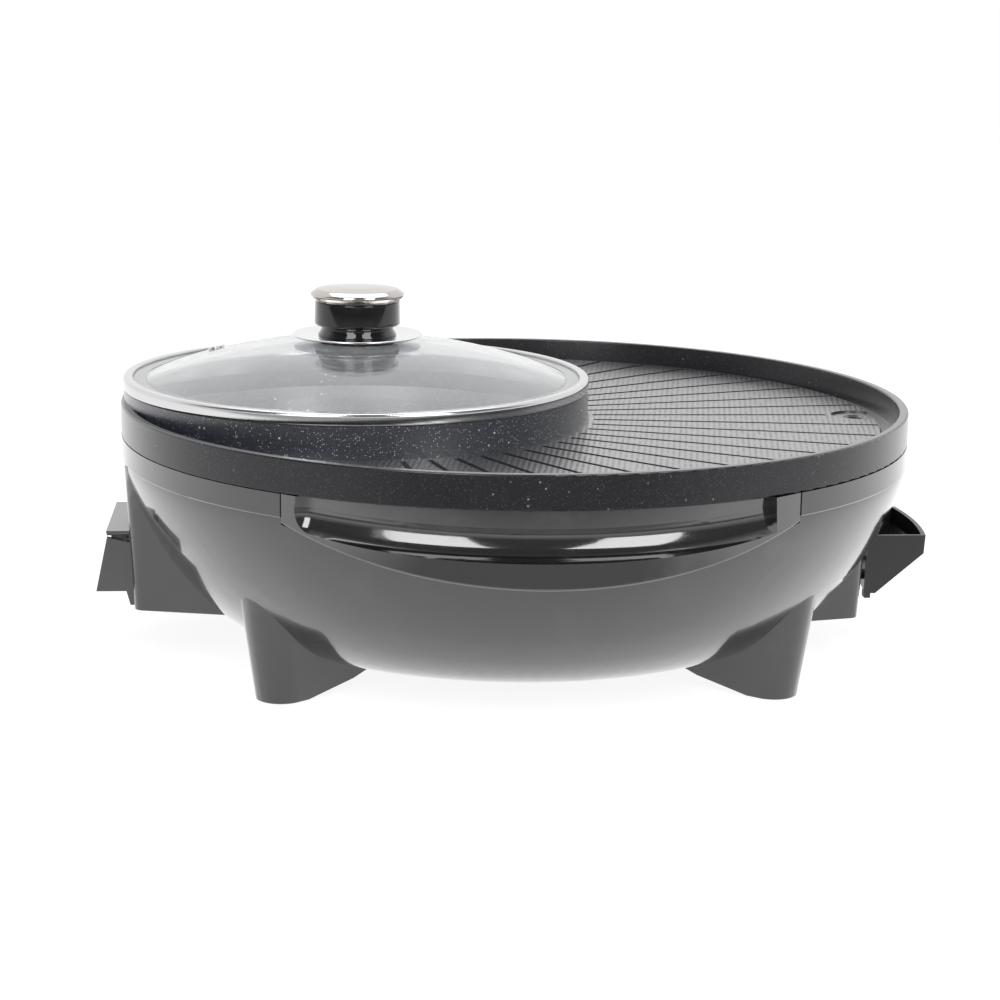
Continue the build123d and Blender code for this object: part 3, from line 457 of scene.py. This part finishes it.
@dataclass(frozen=True)
class ClearGlass(Finish):
    """Tempered glass with a faint cool cast."""

    colour: Colour = (0.955, 0.975, 0.985)
    shade: float = 0.10                 # darkness of its shadow
    haze: float = 0.05                  # share of light that the glass scatters

    IOR: ClassVar[float] = 1.5
    SMEAR_SCALE: ClassVar[float] = 24.0
    SMEAR_ROUGHNESS: ClassVar[float] = 0.04

    def build(self) -> bpy.types.Material:
        """Smooth glass, a little greasy, that lets lamp light through and throws a light shadow."""
        shader = Shader(self.name)
        smear = shader.noise(shader.place(), self.SMEAR_SCALE, 4.0, 0.6).above(0.62, 0.5)
        path = shader.node("ShaderNodeLightPath")
        shadow_ray = Value(shader, path.outputs["Is Shadow Ray"])
        return shader.surface(
            Base_Color=self.colour, Roughness=smear * self.SMEAR_ROUGHNESS, IOR=self.IOR,
            Transmission_Weight=1.0 - self.haze, Alpha=1.0 - shadow_ray * (1.0 - self.shade))


class Polish(Enum):
    """How a metal's surface was worked, as its roughness and the depth of its marks."""

    MIRROR = (0.05, 0.04)
    BRIGHT = (0.13, 0.12)
    BRUSHED = (0.27, 0.30)
    MILL = (0.38, 0.35)


@dataclass(frozen=True)
class Metal(Finish):
    """Bare or plated metal."""

    colour: Colour = (0.72, 0.72, 0.73)
    polish: Polish = Polish.BRIGHT
    centre: Place = (0.0, 0.0, 0.0)     # the polishing marks run round this point

    BRUSH_SCALE: ClassVar[float] = 2600.0
    BRUSH_DEPTH: ClassVar[float] = 0.00003
    STAIN_SCALE: ClassVar[float] = 35.0
    STAIN_ROUGHNESS: ClassVar[float] = 0.05
    STAIN_SHADE: ClassVar[float] = 0.86

    def build(self) -> bpy.types.Material:
        """Circular polishing marks about the centre, and slow stains."""
        shader = Shader(self.name)
        rough, marks = self.polish.value
        place = shader.moved(shader.place(), tuple(-c for c in self.centre))
        x, y, z = shader.axes(place)
        radius = (x * x + y * y).math("SQRT")
        rings = shader.node("ShaderNodeCombineXYZ", inputs={0: radius, 1: z})
        brush = shader.noise(rings.outputs[0], self.BRUSH_SCALE, 3.0, 0.7)
        stain = shader.noise(place, self.STAIN_SCALE, 4.0)
        darker = tuple(c * self.STAIN_SHADE for c in self.colour)
        return shader.surface(
            Base_Color=shader.blend(stain, darker, self.colour), Metallic=1.0,
            Roughness=brush * marks * 0.5 + stain * self.STAIN_ROUGHNESS + rough * 0.7,
            Normal=shader.bump(brush, marks, self.BRUSH_DEPTH))


@dataclass(frozen=True)
class Matte(Finish):
    """A dull, slightly grained material such as rubber, silicone or ceramic."""

    colour: Colour = (0.03, 0.03, 0.03)
    roughness: float = 0.75
    grain: float = 1200.0               # grains to the metre

    CLOUD_SCALE: ClassVar[float] = 80.0
    CLOUD_ROUGHNESS: ClassVar[float] = 0.16
    GRAIN_STRENGTH: ClassVar[float] = 0.4
    GRAIN_DEPTH: ClassVar[float] = 0.0001

    def build(self) -> bpy.types.Material:
        """Cloudy colour and a fine grain."""
        shader = Shader(self.name)
        place = shader.place()
        cloud = shader.noise(place, self.CLOUD_SCALE, 3.0)
        grain = shader.noise(place, self.grain, 3.0)
        paler = tuple(min(1.0, c * 1.35 + 0.004) for c in self.colour)
        mean = self.roughness - self.CLOUD_ROUGHNESS / 2
        return shader.surface(
            Base_Color=shader.blend(cloud, self.colour, paler),
            Roughness=mean + cloud * self.CLOUD_ROUGHNESS,
            Normal=shader.bump(grain, self.GRAIN_STRENGTH, self.GRAIN_DEPTH))


POT_X = -84.0                           # the axis of pot and lid, in millimetres
POT_AXIS = (POT_X * MM, 0.0, 0.0)

SHELL_BLACK = MouldedPlastic("shell_black_moulding", roughness=0.14, coat_roughness=0.06, ior=1.54)
HANDLE_BLACK = MouldedPlastic("handle_black_gloss", colour=(0.008, 0.008, 0.009), roughness=0.10,
                              coat_roughness=0.06, ior=1.66, sole_roughness=0.28)
KNOB_BLACK = MouldedPlastic("polished_knob_black", colour=(0.005, 0.005, 0.006), roughness=0.04,
                            ior=1.36, dust=0.03)
SATIN_GREY = SatinPlastic("satin_dark_moulding")
TRAY_GREY = SatinPlastic("satin_tray_moulding", colour=(0.016, 0.016, 0.018), coat=0.0)
BLACK_COVER = SatinPlastic("black_cover", colour=(0.02, 0.02, 0.02), roughness=0.42)
PLATE_COAT = CoatedCasting("flecked_grill_coat", colour=(0.022, 0.022, 0.026), roughness=0.29,
                           coat_roughness=0.24, ior=1.75)
POT_COAT = CoatedCasting("flecked_pot_coat", colour=(0.014, 0.016, 0.022), fleck=(0.72, 0.74, 0.78),
                         roughness=0.30, coat_roughness=0.24, ior=1.56,
                         fine_share=0.20, small_share=0.55)
WALL_COAT = CoatedCasting("flecked_wall_coat", colour=(0.006, 0.006, 0.008),
                          fine_share=0.14, small_share=0.16, large_share=0.50)
GLASS = ClearGlass("tempered_glass")
RIM_STEEL = Metal("rolled_rim_steel", centre=POT_AXIS)
CHROME = Metal("bright_chrome", colour=(0.76, 0.76, 0.76), polish=Polish.MIRROR, centre=POT_AXIS)
CAP_METAL = Metal("smoked_chrome", colour=(0.62, 0.58, 0.54), polish=Polish.MIRROR, centre=POT_AXIS)
CUP_STEEL = Metal("polished_cup_steel", colour=(0.74, 0.74, 0.73), centre=POT_AXIS)
SHEET_STEEL = Metal("aluminised_sheet", colour=(0.60, 0.61, 0.62), polish=Polish.MILL)
ZINC = Metal("zinc_plate", colour=(0.62, 0.62, 0.58), polish=Polish.BRUSHED)
SHEATH = Metal("heat_darkened_sheath", colour=(0.20, 0.18, 0.16), polish=Polish.MILL)
CONTACT = Metal("nickel_contact", colour=(0.74, 0.70, 0.62))
ALUMINIUM = Metal("plain_aluminium", colour=(0.72, 0.72, 0.73), polish=Polish.MILL)
RUBBER = Matte("foot_rubber", colour=(0.02, 0.02, 0.02))
SILICONE = Matte("black_silicone", colour=(0.035, 0.035, 0.035), roughness=0.6)
SLEEVING = Matte("pale_sleeving", colour=(0.62, 0.60, 0.54), roughness=0.8, grain=2400.0)
CERAMIC = Matte("steatite", colour=(0.72, 0.69, 0.62), roughness=0.55)
PHENOLIC = Matte("brown_phenolic", colour=(0.06, 0.03, 0.02), roughness=0.5)

NODE_FINISHES: "dict[str, Finish]" = {
    "base_shell": SHELL_BLACK, "handle_front": HANDLE_BLACK, "handle_rear": HANDLE_BLACK,
    "bottom_cover": BLACK_COVER, "bottom_screws": ZINC, "handle_screws": ZINC,
    "shield_screws": ZINC, "rubber_feet": RUBBER, "grill_pot_pan": PLATE_COAT,
    "pan_vessel": POT_COAT, "pan_wall": WALL_COAT, "heat_shield": SHEET_STEEL,
    "heat_well": SHEET_STEEL, "element_clips": SHEET_STEEL, "grill_element": SHEATH,
    "pot_element": SHEATH, "grill_bushes": CERAMIC, "socket_housing": SATIN_GREY,
    "socket_shelf": SATIN_GREY, "socket_insulator": CERAMIC, "terminal_pins": CONTACT,
    "probe_sleeve": CUP_STEEL, "sensor_foot": ALUMINIUM, "thermal_cutout": PHENOLIC,
    "lead_wires": SLEEVING, "drain_chute": CUP_STEEL, "drip_tray": TRAY_GREY,
    "lid_glass": GLASS, "lid_rim": RIM_STEEL, "lid_vent": CUP_STEEL, "lid_gasket": SILICONE,
    "lid_knob_flange": CHROME, "lid_knob_body": KNOB_BLACK, "lid_knob_cap": CHROME,
    "lid_under_cup": CUP_STEEL, "lid_screw": ZINC,
}


def dress(piece: bpy.types.Object, finish: Finish) -> None:
    """Give a piece one finish in every material slot."""
    material = finish.material()
    if not piece.material_slots:
        piece.data.materials.append(material)
    for slot in piece.material_slots:
        slot.material = material


def hand_over(piece: bpy.types.Object, body: str, finish: Finish, node: str) -> None:
    """Dress a finished piece, let it ride on its body and put it in place of the plain solid.

    Args:
        piece: The piece.
        body: The body that it moves with.
        finish: Its finish.
        node: The solid that it stands for.
    """
    dress(piece, finish)
    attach(piece, body)
    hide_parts(node)
    log.info("made %s: %d faces, %s", piece.name, len(piece.data.polygons), finish.name)


# ---------------------------------------------------------------------------------- modelling tools
Corner = tuple[float, float, float]         # radius, height and rounding, in millimetres


class Lathe:
    """Turns a piece from its outline."""

    STRAIGHT: ClassVar[float] = math.radians(178)   # a corner flatter than this isn't rounded
    REACH: ClassVar[float] = 0.49                   # a rounding's longest share of an edge
    WELD_POINTS: ClassVar[float] = 1e-7
    WELD_TURNS: ClassVar[float] = 1e-6

    def __init__(self, steps: int = 128, corner_steps: int = 5) -> None:
        """Set how finely pieces are turned.

        Args:
            steps: Faces round the axis.
            corner_steps: Faces in each rounded corner.
        """
        self.steps = steps
        self.corner_steps = corner_steps

    def outline(self, corners: Sequence[Corner]) -> "list[Vector]":
        """Round the corners of a closed outline.

        Args:
            corners: Its corners, each with its own rounding; none rounds a corner on the axis.

        Returns:
            The outline's points in metres, in the XZ plane.
        """
        points = []
        for k, (r, z, rounding) in enumerate(corners):
            here = Vector((r, 0.0, z))
            before = Vector((corners[k - 1][0], 0.0, corners[k - 1][1])) - here
            after_corner = corners[(k + 1) % len(corners)]
            after = Vector((after_corner[0], 0.0, after_corner[1])) - here
            bend = before.angle(after)
            if rounding <= 0.0 or bend > self.STRAIGHT:
                points.append(here * MM)
                continue
            reach = min(rounding / math.tan(bend / 2), before.length * self.REACH,
                        after.length * self.REACH)
            start, end = here + before.normalized() * reach, here + after.normalized() * reach
            for step in range(self.corner_steps + 1):
                t = step / self.corner_steps
                points.append((start.lerp(here, t).lerp(here.lerp(end, t), t)) * MM)
        return points

    def turn(self, name: str, corners: Sequence[Corner],
             smooth: float = 34.0) -> bpy.types.Object:
        """Turn a closed outline about the Z axis.

        Args:
            name: The piece's name.
            corners: The outline, as outline() takes it.
            smooth: Edges flatter than this angle are shaded smooth.

        Returns:
            The piece, with its axis on Z.
        """
        bpy.ops.object.select_all(action="DESELECT")
        bpy.ops.mesh.primitive_plane_add(size=MM, location=(0.0, 0.0, 0.0))
        piece = bpy.context.object
        piece.name = piece.data.name = name
        bpy.ops.object.mode_set(mode="EDIT")
        bpy.ops.mesh.select_all(action="SELECT")
        bpy.ops.mesh.merge(type="CENTER")
        points = self.outline(corners)
        bpy.ops.transform.translate(value=points[0])
        for here, there in zip(points, points[1:] + points[:1]):
            bpy.ops.mesh.extrude_vertices_move(TRANSFORM_OT_translate={"value": there - here})
        bpy.ops.mesh.select_all(action="SELECT")
        bpy.ops.mesh.remove_doubles(threshold=self.WELD_POINTS)
        bpy.ops.mesh.select_all(action="SELECT")
        bpy.ops.mesh.spin(steps=self.steps, angle=2 * math.pi, center=(0.0, 0.0, 0.0),
                          axis=(0.0, 0.0, 1.0))
        bpy.ops.mesh.select_all(action="SELECT")
        bpy.ops.mesh.remove_doubles(threshold=self.WELD_TURNS)
        bpy.ops.mesh.normals_make_consistent(inside=False)
        bpy.ops.object.mode_set(mode="OBJECT")
        bpy.ops.object.shade_smooth_by_angle(angle=math.radians(smooth))
        return piece


class Bench:
    """Fits, copies and eases pieces."""

    WELD: ClassVar[float] = 2e-6
    FLAT_BEND: ClassVar[float] = math.radians(0.6)      # faces flatter than this are joined
    SHARP_BEND: ClassVar[float] = math.radians(40.0)    # edges sharper than this are rounded
    ROUNDING_FACES: ClassVar[int] = 2

    @staticmethod
    def pick(piece: bpy.types.Object) -> None:
        """Select this piece alone and make it the active one."""
        bpy.ops.object.select_all(action="DESELECT")
        piece.select_set(True)
        bpy.context.view_layer.objects.active = piece

    @classmethod
    def seat(cls, piece: bpy.types.Object, place: Matrix) -> bpy.types.Object:
        """Move a piece to its place and put that place into its mesh."""
        piece.matrix_world = place
        cls.pick(piece)
        bpy.ops.object.transform_apply(location=True, rotation=True, scale=True)
        return piece

    @staticmethod
    def copied(piece: bpy.types.Object, name: str) -> bpy.types.Object:
        """A copy of a piece with a mesh of its own."""
        twin = bpy.data.objects.new(name, piece.data.copy())
        twin.data.name = name
        bpy.context.scene.collection.objects.link(twin)
        return twin

    @classmethod
    def carve(cls, piece: bpy.types.Object, tool: bpy.types.Object) -> None:
        """Cut a tool out of a piece and throw the tool away."""
        cls.pick(piece)
        cut = piece.modifiers.new("carve", "BOOLEAN")
        cut.operation = "DIFFERENCE"
        cut.solver = "EXACT"
        cut.object = tool
        bpy.ops.object.modifier_apply(modifier=cut.name)
        bpy.data.objects.remove(tool)

    @classmethod
    def eased(cls, node: str, name: str, width: float) -> bpy.types.Object:
        """A copy of a plain solid with its sharp edges rounded.

        Args:
            node: The solid's name.
            name: The copy's name.
            width: The rounding's width in metres.

        Returns:
            The copy, in the solid's place.
        """
        piece = cls.copied(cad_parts[node], name)
        piece.data.materials.clear()
        cls.pick(piece)
        bpy.ops.mesh.customdata_custom_splitnormals_clear()
        bpy.ops.object.mode_set(mode="EDIT")
        bpy.ops.mesh.select_all(action="SELECT")
        bpy.ops.mesh.remove_doubles(threshold=cls.WELD)
        bpy.ops.mesh.dissolve_limited(angle_limit=cls.FLAT_BEND)
        bpy.ops.object.mode_set(mode="OBJECT")
        rounding = piece.modifiers.new("rounding", "BEVEL")
        rounding.width = width
        rounding.segments = cls.ROUNDING_FACES
        rounding.limit_method = "ANGLE"
        rounding.angle_limit = cls.SHARP_BEND
        bpy.ops.object.modifier_apply(modifier=rounding.name)
        bpy.ops.object.shade_smooth_by_angle(angle=cls.SHARP_BEND)
        even = piece.modifiers.new("even_shading", "WEIGHTED_NORMAL")
        even.keep_sharp = True
        bpy.ops.object.modifier_apply(modifier=even.name)
        return piece


# ---------------------------------------------------------------------------------- lid
SCREW_HOLE_R = 2.5
SOFT_BEND = 50.0                        # degrees; small rolled pieces are shaded smooth up to here


@dataclass(frozen=True)
class Lid:
    """The lift-off glass lid: rolled rim, knob on its flange, under cup and steam eyelet.

    Heights and radii are in millimetres; radii are from the lid's own axis.
    """

    pot_top: float = 140.0
    rim_r: float = 123.0
    skirt_r: float = 117.7
    skirt_low: float = 131.0
    glass_low: float = 141.2
    glass_top: float = 145.2
    glass_r: float = 120.6
    dome_r: float = 111.0
    dome_rise: float = 20.2
    glass_t: float = 4.0
    cup_r: float = 22.4
    cup_low: float = 152.2
    cup_gap: float = 0.05               # between the cup's edge and the glass
    flange_low: float = 166.0
    knob_low: float = 166.9
    cap_low: float = 185.1
    cap_top: float = 192.3
    vent_r: float = 80.6
    vent_angle: float = 159.0

    @property
    def dome_top(self) -> float:
        """Height of the dome's crown."""
        return self.glass_top + self.dome_rise

    @property
    def sphere_r(self) -> float:
        """Radius of the dome's outer face."""
        return (self.dome_r ** 2 + self.dome_rise ** 2) / (2 * self.dome_rise)

    def dome_z(self, r: float, depth: float = 0.0) -> float:
        """Height of the dome's outer face at a radius, or of the face that lies depth under it."""
        middle = self.dome_top - self.sphere_r
        return middle + math.sqrt((self.sphere_r - depth) ** 2 - r ** 2)

    def build(self) -> None:
        """Make the lid's turned pieces."""
        self._rim()
        self._knob()
        self._under_cup()
        self._eyelet()

    def _on_axis(self, piece: bpy.types.Object) -> bpy.types.Object:
        """Put a turned piece on the lid's axis."""
        return Bench.seat(piece, Matrix.Translation(POT_AXIS))

    def _rim(self) -> None:
        """The rolled ring: a skirt into the pot, a full round outside and a lip on the glass."""
        inner, top = self.skirt_r - 1.0, self.glass_top + 1.2
        rim = Lathe(192).turn("rolled_rim", (
            (inner, self.skirt_low, 0.3), (self.skirt_r, self.skirt_low, 0.3),
            (self.skirt_r, self.pot_top, 0.5), (self.rim_r, self.pot_top, 1.3),
            (self.rim_r, top, 2.0), (self.rim_r - 4.9, top, 0.6),
            (self.rim_r - 5.0, self.glass_top, 0.1), (self.glass_r, self.glass_top, 0.0),
            (self.glass_r, self.glass_low, 0.0), (inner, self.glass_low, 0.5)))
        hand_over(self._on_axis(rim), "lid", RIM_STEEL, "lid_rim")

    def _knob(self) -> None:
        """The flange, the moulded grip with its waist, and the domed cap."""
        z = self.flange_low
        flange = Lathe().turn("knob_flange", (
            (SCREW_HOLE_R, z, 0.0), (23.5, z, 3.0), (33.8, z + 0.7, 0.6), (34.6, z + 1.3, 0.4),
            (34.0, z + 1.8, 0.5), (23.6, z + 0.9, 3.0), (SCREW_HOLE_R, z + 0.9, 0.0)))
        hand_over(self._on_axis(flange), "lid", CHROME, "lid_knob_flange")
        z = self.knob_low
        grip = Lathe().turn("knob_grip", (
            (0.0, z, 0.0), (21.2, z, 0.7), (19.1, z + 3.4, 4.0), (19.1, z + 5.3, 0.8),
            (22.0, z + 5.6, 0.5), (22.7, z + 6.6, 0.6), (22.4, z + 17.6, 0.5),
            (21.6, z + 18.2, 0.3), (0.0, z + 18.2, 0.0)))
        hand_over(self._on_axis(grip), "lid", KNOB_BLACK, "lid_knob_body")
        low, top = self.cap_low, self.cap_top
        cap = Lathe(corner_steps=8).turn("knob_cap", (
            (0.0, low, 0.0), (22.1, low, 0.5), (22.6, low + 0.9, 0.4), (25.4, low + 3.6, 1.7),
            (21.4, top - 0.9, 3.2), (10.0, top - 0.12, 14.0), (0.0, top, 0.0)), smooth=SOFT_BEND)
        hand_over(self._on_axis(cap), "lid", CAP_METAL, "lid_knob_cap")

    def _under_cup(self) -> None:
        """The dished cup under the glass."""
        low, r = self.cup_low, self.cup_r
        top = self.dome_z(r, self.glass_t) - self.cup_gap
        cup = Lathe().turn("under_cup", (
            (SCREW_HOLE_R, low, 0.0), (17.5, low, 3.0), (r - 1.2, low + 2.4, 2.0),
            (r, low + 5.0, 1.5), (r, top, 0.2), (r - 0.9, top, 0.2), (r - 0.9, low + 5.2, 1.2),
            (r - 2.0, low + 3.0, 2.0), (17.2, low + 0.9, 2.5), (SCREW_HOLE_R, low + 0.9, 0.0)),
            smooth=SOFT_BEND)
        hand_over(self._on_axis(cup), "lid", CUP_STEEL, "lid_under_cup")

    def _eyelet(self) -> None:
        """The rolled eyelet round the steam hole, square to the glass."""
        eyelet = Lathe(48).turn("steam_eyelet", (
            (1.6, -5.2, 0.2), (4.6, -5.2, 0.3), (4.5, -4.4, 0.3), (2.9, -4.3, 0.2),
            (2.9, 0.25, 0.1), (4.9, 0.25, 0.3), (4.3, 1.2, 0.6), (1.6, 1.2, 0.9)),
            smooth=SOFT_BEND)
        lean = math.asin(self.vent_r / self.sphere_r)
        place = (Matrix.Translation(POT_AXIS)
                 @ Matrix.Rotation(math.radians(self.vent_angle), 4, "Z")
                 @ Matrix.Translation((self.vent_r * MM, 0.0, self.dome_z(self.vent_r) * MM))
                 @ Matrix.Rotation(lean, 4, "Y"))
        hand_over(Bench.seat(eyelet, place), "lid", CUP_STEEL, "lid_vent")


# ---------------------------------------------------------------------------------- base details
@dataclass(frozen=True)
class Feet:
    """Four turned rubber pads under the legs, in millimetres and degrees."""

    radius: float = 7.0
    height: float = 2.4
    circle_r: float = 165.0
    angles: "tuple[float, ...]" = (41.4, 138.6, 221.4, 318.6)

    def build(self) -> None:
        """Turn one pad with a ring groove in its sole, and copy it under each leg."""
        r, top = self.radius, self.height
        pad = Lathe(48).turn("foot_pad", (
            (0.0, 0.0, 0.0), (2.6, 0.0, 0.2), (2.9, 0.6, 0.2), (4.1, 0.6, 0.2), (4.4, 0.0, 0.2),
            (r - 0.4, 0.0, 0.6), (r, top, 0.0), (0.0, top, 0.0)))
        for number, angle in enumerate(self.angles):
            turn = Matrix.Rotation(math.radians(angle), 4, "Z")
            place = turn @ Matrix.Translation((self.circle_r * MM, 0.0, 0.0))
            foot = Bench.seat(Bench.copied(pad, f"foot_pad_{number + 1}"), place)
            hand_over(foot, "base", RUBBER, "rubber_feet")
        bpy.data.objects.remove(pad)


@dataclass(frozen=True)
class ScrewSize:
    """A pan-head screw's sizes in millimetres."""

    head_r: float
    head_h: float
    shank_r: float
    length: float


@dataclass(frozen=True)
class CrossScrews:
    """Pan-head screws with a cross recess: those of the bottom cover and the one of the lid."""

    cover_size: ScrewSize = ScrewSize(head_r=3.2, head_h=2.0, shank_r=1.5, length=5.4)
    cover_circle_r: float = 108.6
    cover_z: float = 14.0
    cover_count: int = 6
    lid_size: ScrewSize = ScrewSize(head_r=4.8, head_h=2.8, shank_r=2.5, length=26.0)
    lid_z: float = 152.2

    def build(self) -> None:
        """Make each size once and copy it to its places."""
        step = 360 / self.cover_count
        seat = Matrix.Translation((self.cover_circle_r * MM, 0.0, self.cover_z * MM))
        circle = [Matrix.Rotation(math.radians(step * k), 4, "Z") @ seat
                  for k in range(self.cover_count)]
        self._row("cover_screw", self.cover_size, circle, "base", "bottom_screws")
        under_lid = Matrix.Translation((POT_X * MM, 0.0, self.lid_z * MM))
        self._row("lid_screw", self.lid_size, [under_lid], "lid", "lid_screw")

    def _row(self, name: str, size: ScrewSize, places: Iterable[Matrix], body: str,
             node: str) -> None:
        """Copy one screw to several places.

        Args:
            name: The screws' name.
            size: Their size.
            places: A frame for each screw; its head is below the frame's zero.
            body: The body that they move with.
            node: The solid that they stand for.
        """
        model = self._screw(name, size)
        for number, place in enumerate(places):
            screw = Bench.seat(Bench.copied(model, f"{name}_{number + 1}"), place)
            hand_over(screw, body, ZINC, node)
        bpy.data.objects.remove(model)

    @staticmethod
    def _screw(name: str, size: ScrewSize) -> bpy.types.Object:
        """One screw along +Z, its head below zero, with a cross sunk into it."""
        r, h = size.head_r, size.head_h
        screw = Lathe(40).turn(name, (
            (0.0, -h, 0.0), (r * 0.7, -h, h * 0.5), (r, -h * 0.45, h * 0.4), (r, 0.0, 0.1),
            (size.shank_r, 0.0, 0.1), (size.shank_r, size.length, 0.3), (0.0, size.length, 0.0)))
        bar_size = Matrix.Diagonal((r * 1.15, r * 0.3, h, 1.0))
        for quarter in (0.0, 90.0):
            bpy.ops.object.select_all(action="DESELECT")
            bpy.ops.mesh.primitive_cube_add(size=MM, location=(0.0, 0.0, 0.0))
            bar = bpy.context.object
            turn = Matrix.Rotation(math.radians(quarter), 4, "Z")
            Bench.seat(bar, Matrix.Translation((0.0, 0.0, -h * MM)) @ turn @ bar_size)
            Bench.carve(screw, bar)
        return screw


@dataclass(frozen=True)
class SideFittings:
    """The thermostat socket's shroud and top plate, and the oil tray, with moulded edges."""

    edge: float = 0.00035               # width of the rounded edges in metres

    def build(self) -> None:
        """Ease the edges of each moulding."""
        for node, name, body in (("socket_housing", "socket_shroud", "base"),
                                 ("socket_shelf", "socket_top", "base"),
                                 ("drip_tray", "oil_tray", "tray")):
            piece = Bench.eased(node, name, self.edge)
            hand_over(piece, body, NODE_FINISHES[node], node)


# ---------------------------------------------------------------------------------- studio
@dataclass(frozen=True)
class SoftBox:
    """A rectangular lamp that faces the object."""

    name: str
    place: Place
    size: "tuple[float, float]"         # width and height in metres
    power: float                        # watts

    AIM: ClassVar[Place] = (0.0, 0.0, 0.09)

    def build(self) -> None:
        """Hang the lamp up."""
        lamp = bpy.data.lights.new(self.name, "AREA")
        lamp.shape = "RECTANGLE"
        lamp.size, lamp.size_y = self.size
        lamp.energy = self.power
        holder = bpy.data.objects.new(self.name, lamp)
        holder.location = self.place
        aim = Vector(self.AIM) - Vector(self.place)
        holder.rotation_mode = "QUATERNION"
        holder.rotation_quaternion = aim.to_track_quat("-Z", "Y")
        bpy.context.scene.collection.objects.link(holder)


@dataclass(frozen=True)
class Studio:
    """White sweep, two soft boxes in front, a weak one overhead, and the camera.

    Its lengths are in metres, apart from the camera's place, lens and sensor (millimetres).
    """

    floor_half: float = 60.0
    floor_colour: Colour = (0.90, 0.90, 0.90)
    floor_share: float = 0.72           # share of its own glow where the floor is seen
    floor_glow: float = 1.25
    floor_dim: float = 0.10             # the floor's share of glow beyond its end in a gloss
    surround: float = 0.42              # what the surround adds to dull surfaces
    front_stops: Stops = ((0.10, 0.9), (0.34, 0.16), (1.0, 0.12))
    back_stops: Stops = ((0.75, 1.0), (0.95, 0.45), (1.0, 0.30))
    lamps: "tuple[SoftBox, ...]" = (
        SoftBox("left_box", (-0.66, -1.27, 1.12), (0.66, 1.25), 15.0),
        SoftBox("right_box", (0.73, -1.26, 1.09), (0.66, 1.25), 15.0),
        SoftBox("overhead", (0.0, 0.7, 2.2), (2.0, 1.4), 16.0))
    camera_place: Place = (-107.5, -1276.2, 356.9)
    camera_tilt: float = 77.666
    camera_turn: float = -4.5
    camera_roll: float = 0.807
    lens: float = 87.45
    sensor_width: float = 36.0
    clip_start: float = 0.05
    clip_end: float = 30.0

    def build(self) -> None:
        """Make everything round the object."""
        self._world()
        self._floor()
        for lamp in self.lamps:
            lamp.build()
        self._camera()
        bpy.context.scene.view_settings.view_transform = "Standard"

    @staticmethod
    def _rays(shader: Shader) -> "tuple[Value, Value, Value]":
        """Masks for the rays from the camera, off a gloss and through glass."""
        path = shader.node("ShaderNodeLightPath")
        return tuple(Value(shader, path.outputs[f"Is {kind} Ray"])
                     for kind in ("Camera", "Glossy", "Transmission"))

    def _world(self) -> None:
        """A surround that is white to the camera and through glass.

        In a gloss it is white behind the object and near the horizon, and dark in front overhead.
        """
        shader = Shader("studio_surround", world=True)
        direction = shader.node("ShaderNodeTexCoord").outputs["Generated"]
        _, y, z = shader.axes(direction)
        front = shader.ramp(z, self.front_stops)
        back = shader.ramp(z, self.back_stops)
        mirrored = shader.choose(y.above(-0.10, 0.35), front, back)
        camera, glossy, through = self._rays(shader)
        strength = shader.choose(glossy, self.surround, mirrored)
        strength = shader.choose(camera.math("MAXIMUM", through), strength, 1.0)
        inputs = {"Color": (1.0, 1.0, 1.0, 1.0), "Strength": strength}
        background = shader.node("ShaderNodeBackground", inputs=inputs)
        bpy.context.scene.world = shader.finish(background.outputs[0])

    def _floor(self) -> None:
        """A pale level floor that is seen white and keeps a soft shadow.

        In a gloss it ends a little in front of the object, and further out to its left and right.
        """
        bpy.ops.object.select_all(action="DESELECT")
        bpy.ops.mesh.primitive_plane_add(size=2 * self.floor_half, location=(0.0, 0.0, 0.0))
        floor = bpy.context.object
        floor.name = "floor"
        shader = Shader("white_sweep")
        x, y, _ = shader.axes(shader.place())
        camera, glossy, through = self._rays(shader)
        beside = x.math("ABSOLUTE").above(0.28, 0.20) * y.above(-0.80, 0.20)
        lit = y.above(-0.45, 0.12).math("MAXIMUM", beside)
        bright = shader.choose(glossy, 1.0, lit * (1.0 - self.floor_dim) + self.floor_dim)
        glow = shader.node("ShaderNodeEmission", inputs={"Strength": bright * self.floor_glow})
        matte = shader.node("ShaderNodeBsdfDiffuse", inputs={"Color": (*self.floor_colour, 1.0)})
        seen = camera.math("MAXIMUM", glossy).math("MAXIMUM", through) * self.floor_share
        mix = shader.node("ShaderNodeMixShader",
                          inputs={0: seen, 1: matte.outputs[0], 2: glow.outputs[0]})
        floor.data.materials.append(shader.finish(mix.outputs[0]))

    def _camera(self) -> None:
        """The camera at its fitted place."""
        data = bpy.data.cameras.new("camera")
        data.sensor_width = self.sensor_width
        data.lens = self.lens
        data.clip_start = self.clip_start
        data.clip_end = self.clip_end
        camera = bpy.data.objects.new("camera", data)
        turn = (Matrix.Rotation(math.radians(self.camera_turn), 4, "Z")
                @ Matrix.Rotation(math.radians(self.camera_tilt), 4, "X")
                @ Matrix.Rotation(math.radians(self.camera_roll), 4, "Z"))
        camera.matrix_world = Matrix.Translation(Vector(self.camera_place) * MM) @ turn
        bpy.context.scene.collection.objects.link(camera)
        bpy.context.scene.camera = camera


def main() -> None:
    """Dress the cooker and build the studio."""
    logging.basicConfig(level=logging.INFO, format="%(message)s")
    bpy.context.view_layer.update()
    for name, finish in NODE_FINISHES.items():
        dress(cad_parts[name], finish)
        log.info("dressed %s in %s", name, finish.name)
    for assembly in (Lid(), Feet(), CrossScrews(), SideFittings()):
        assembly.build()
    Studio().build()


if __name__ == "__main__":
    main()
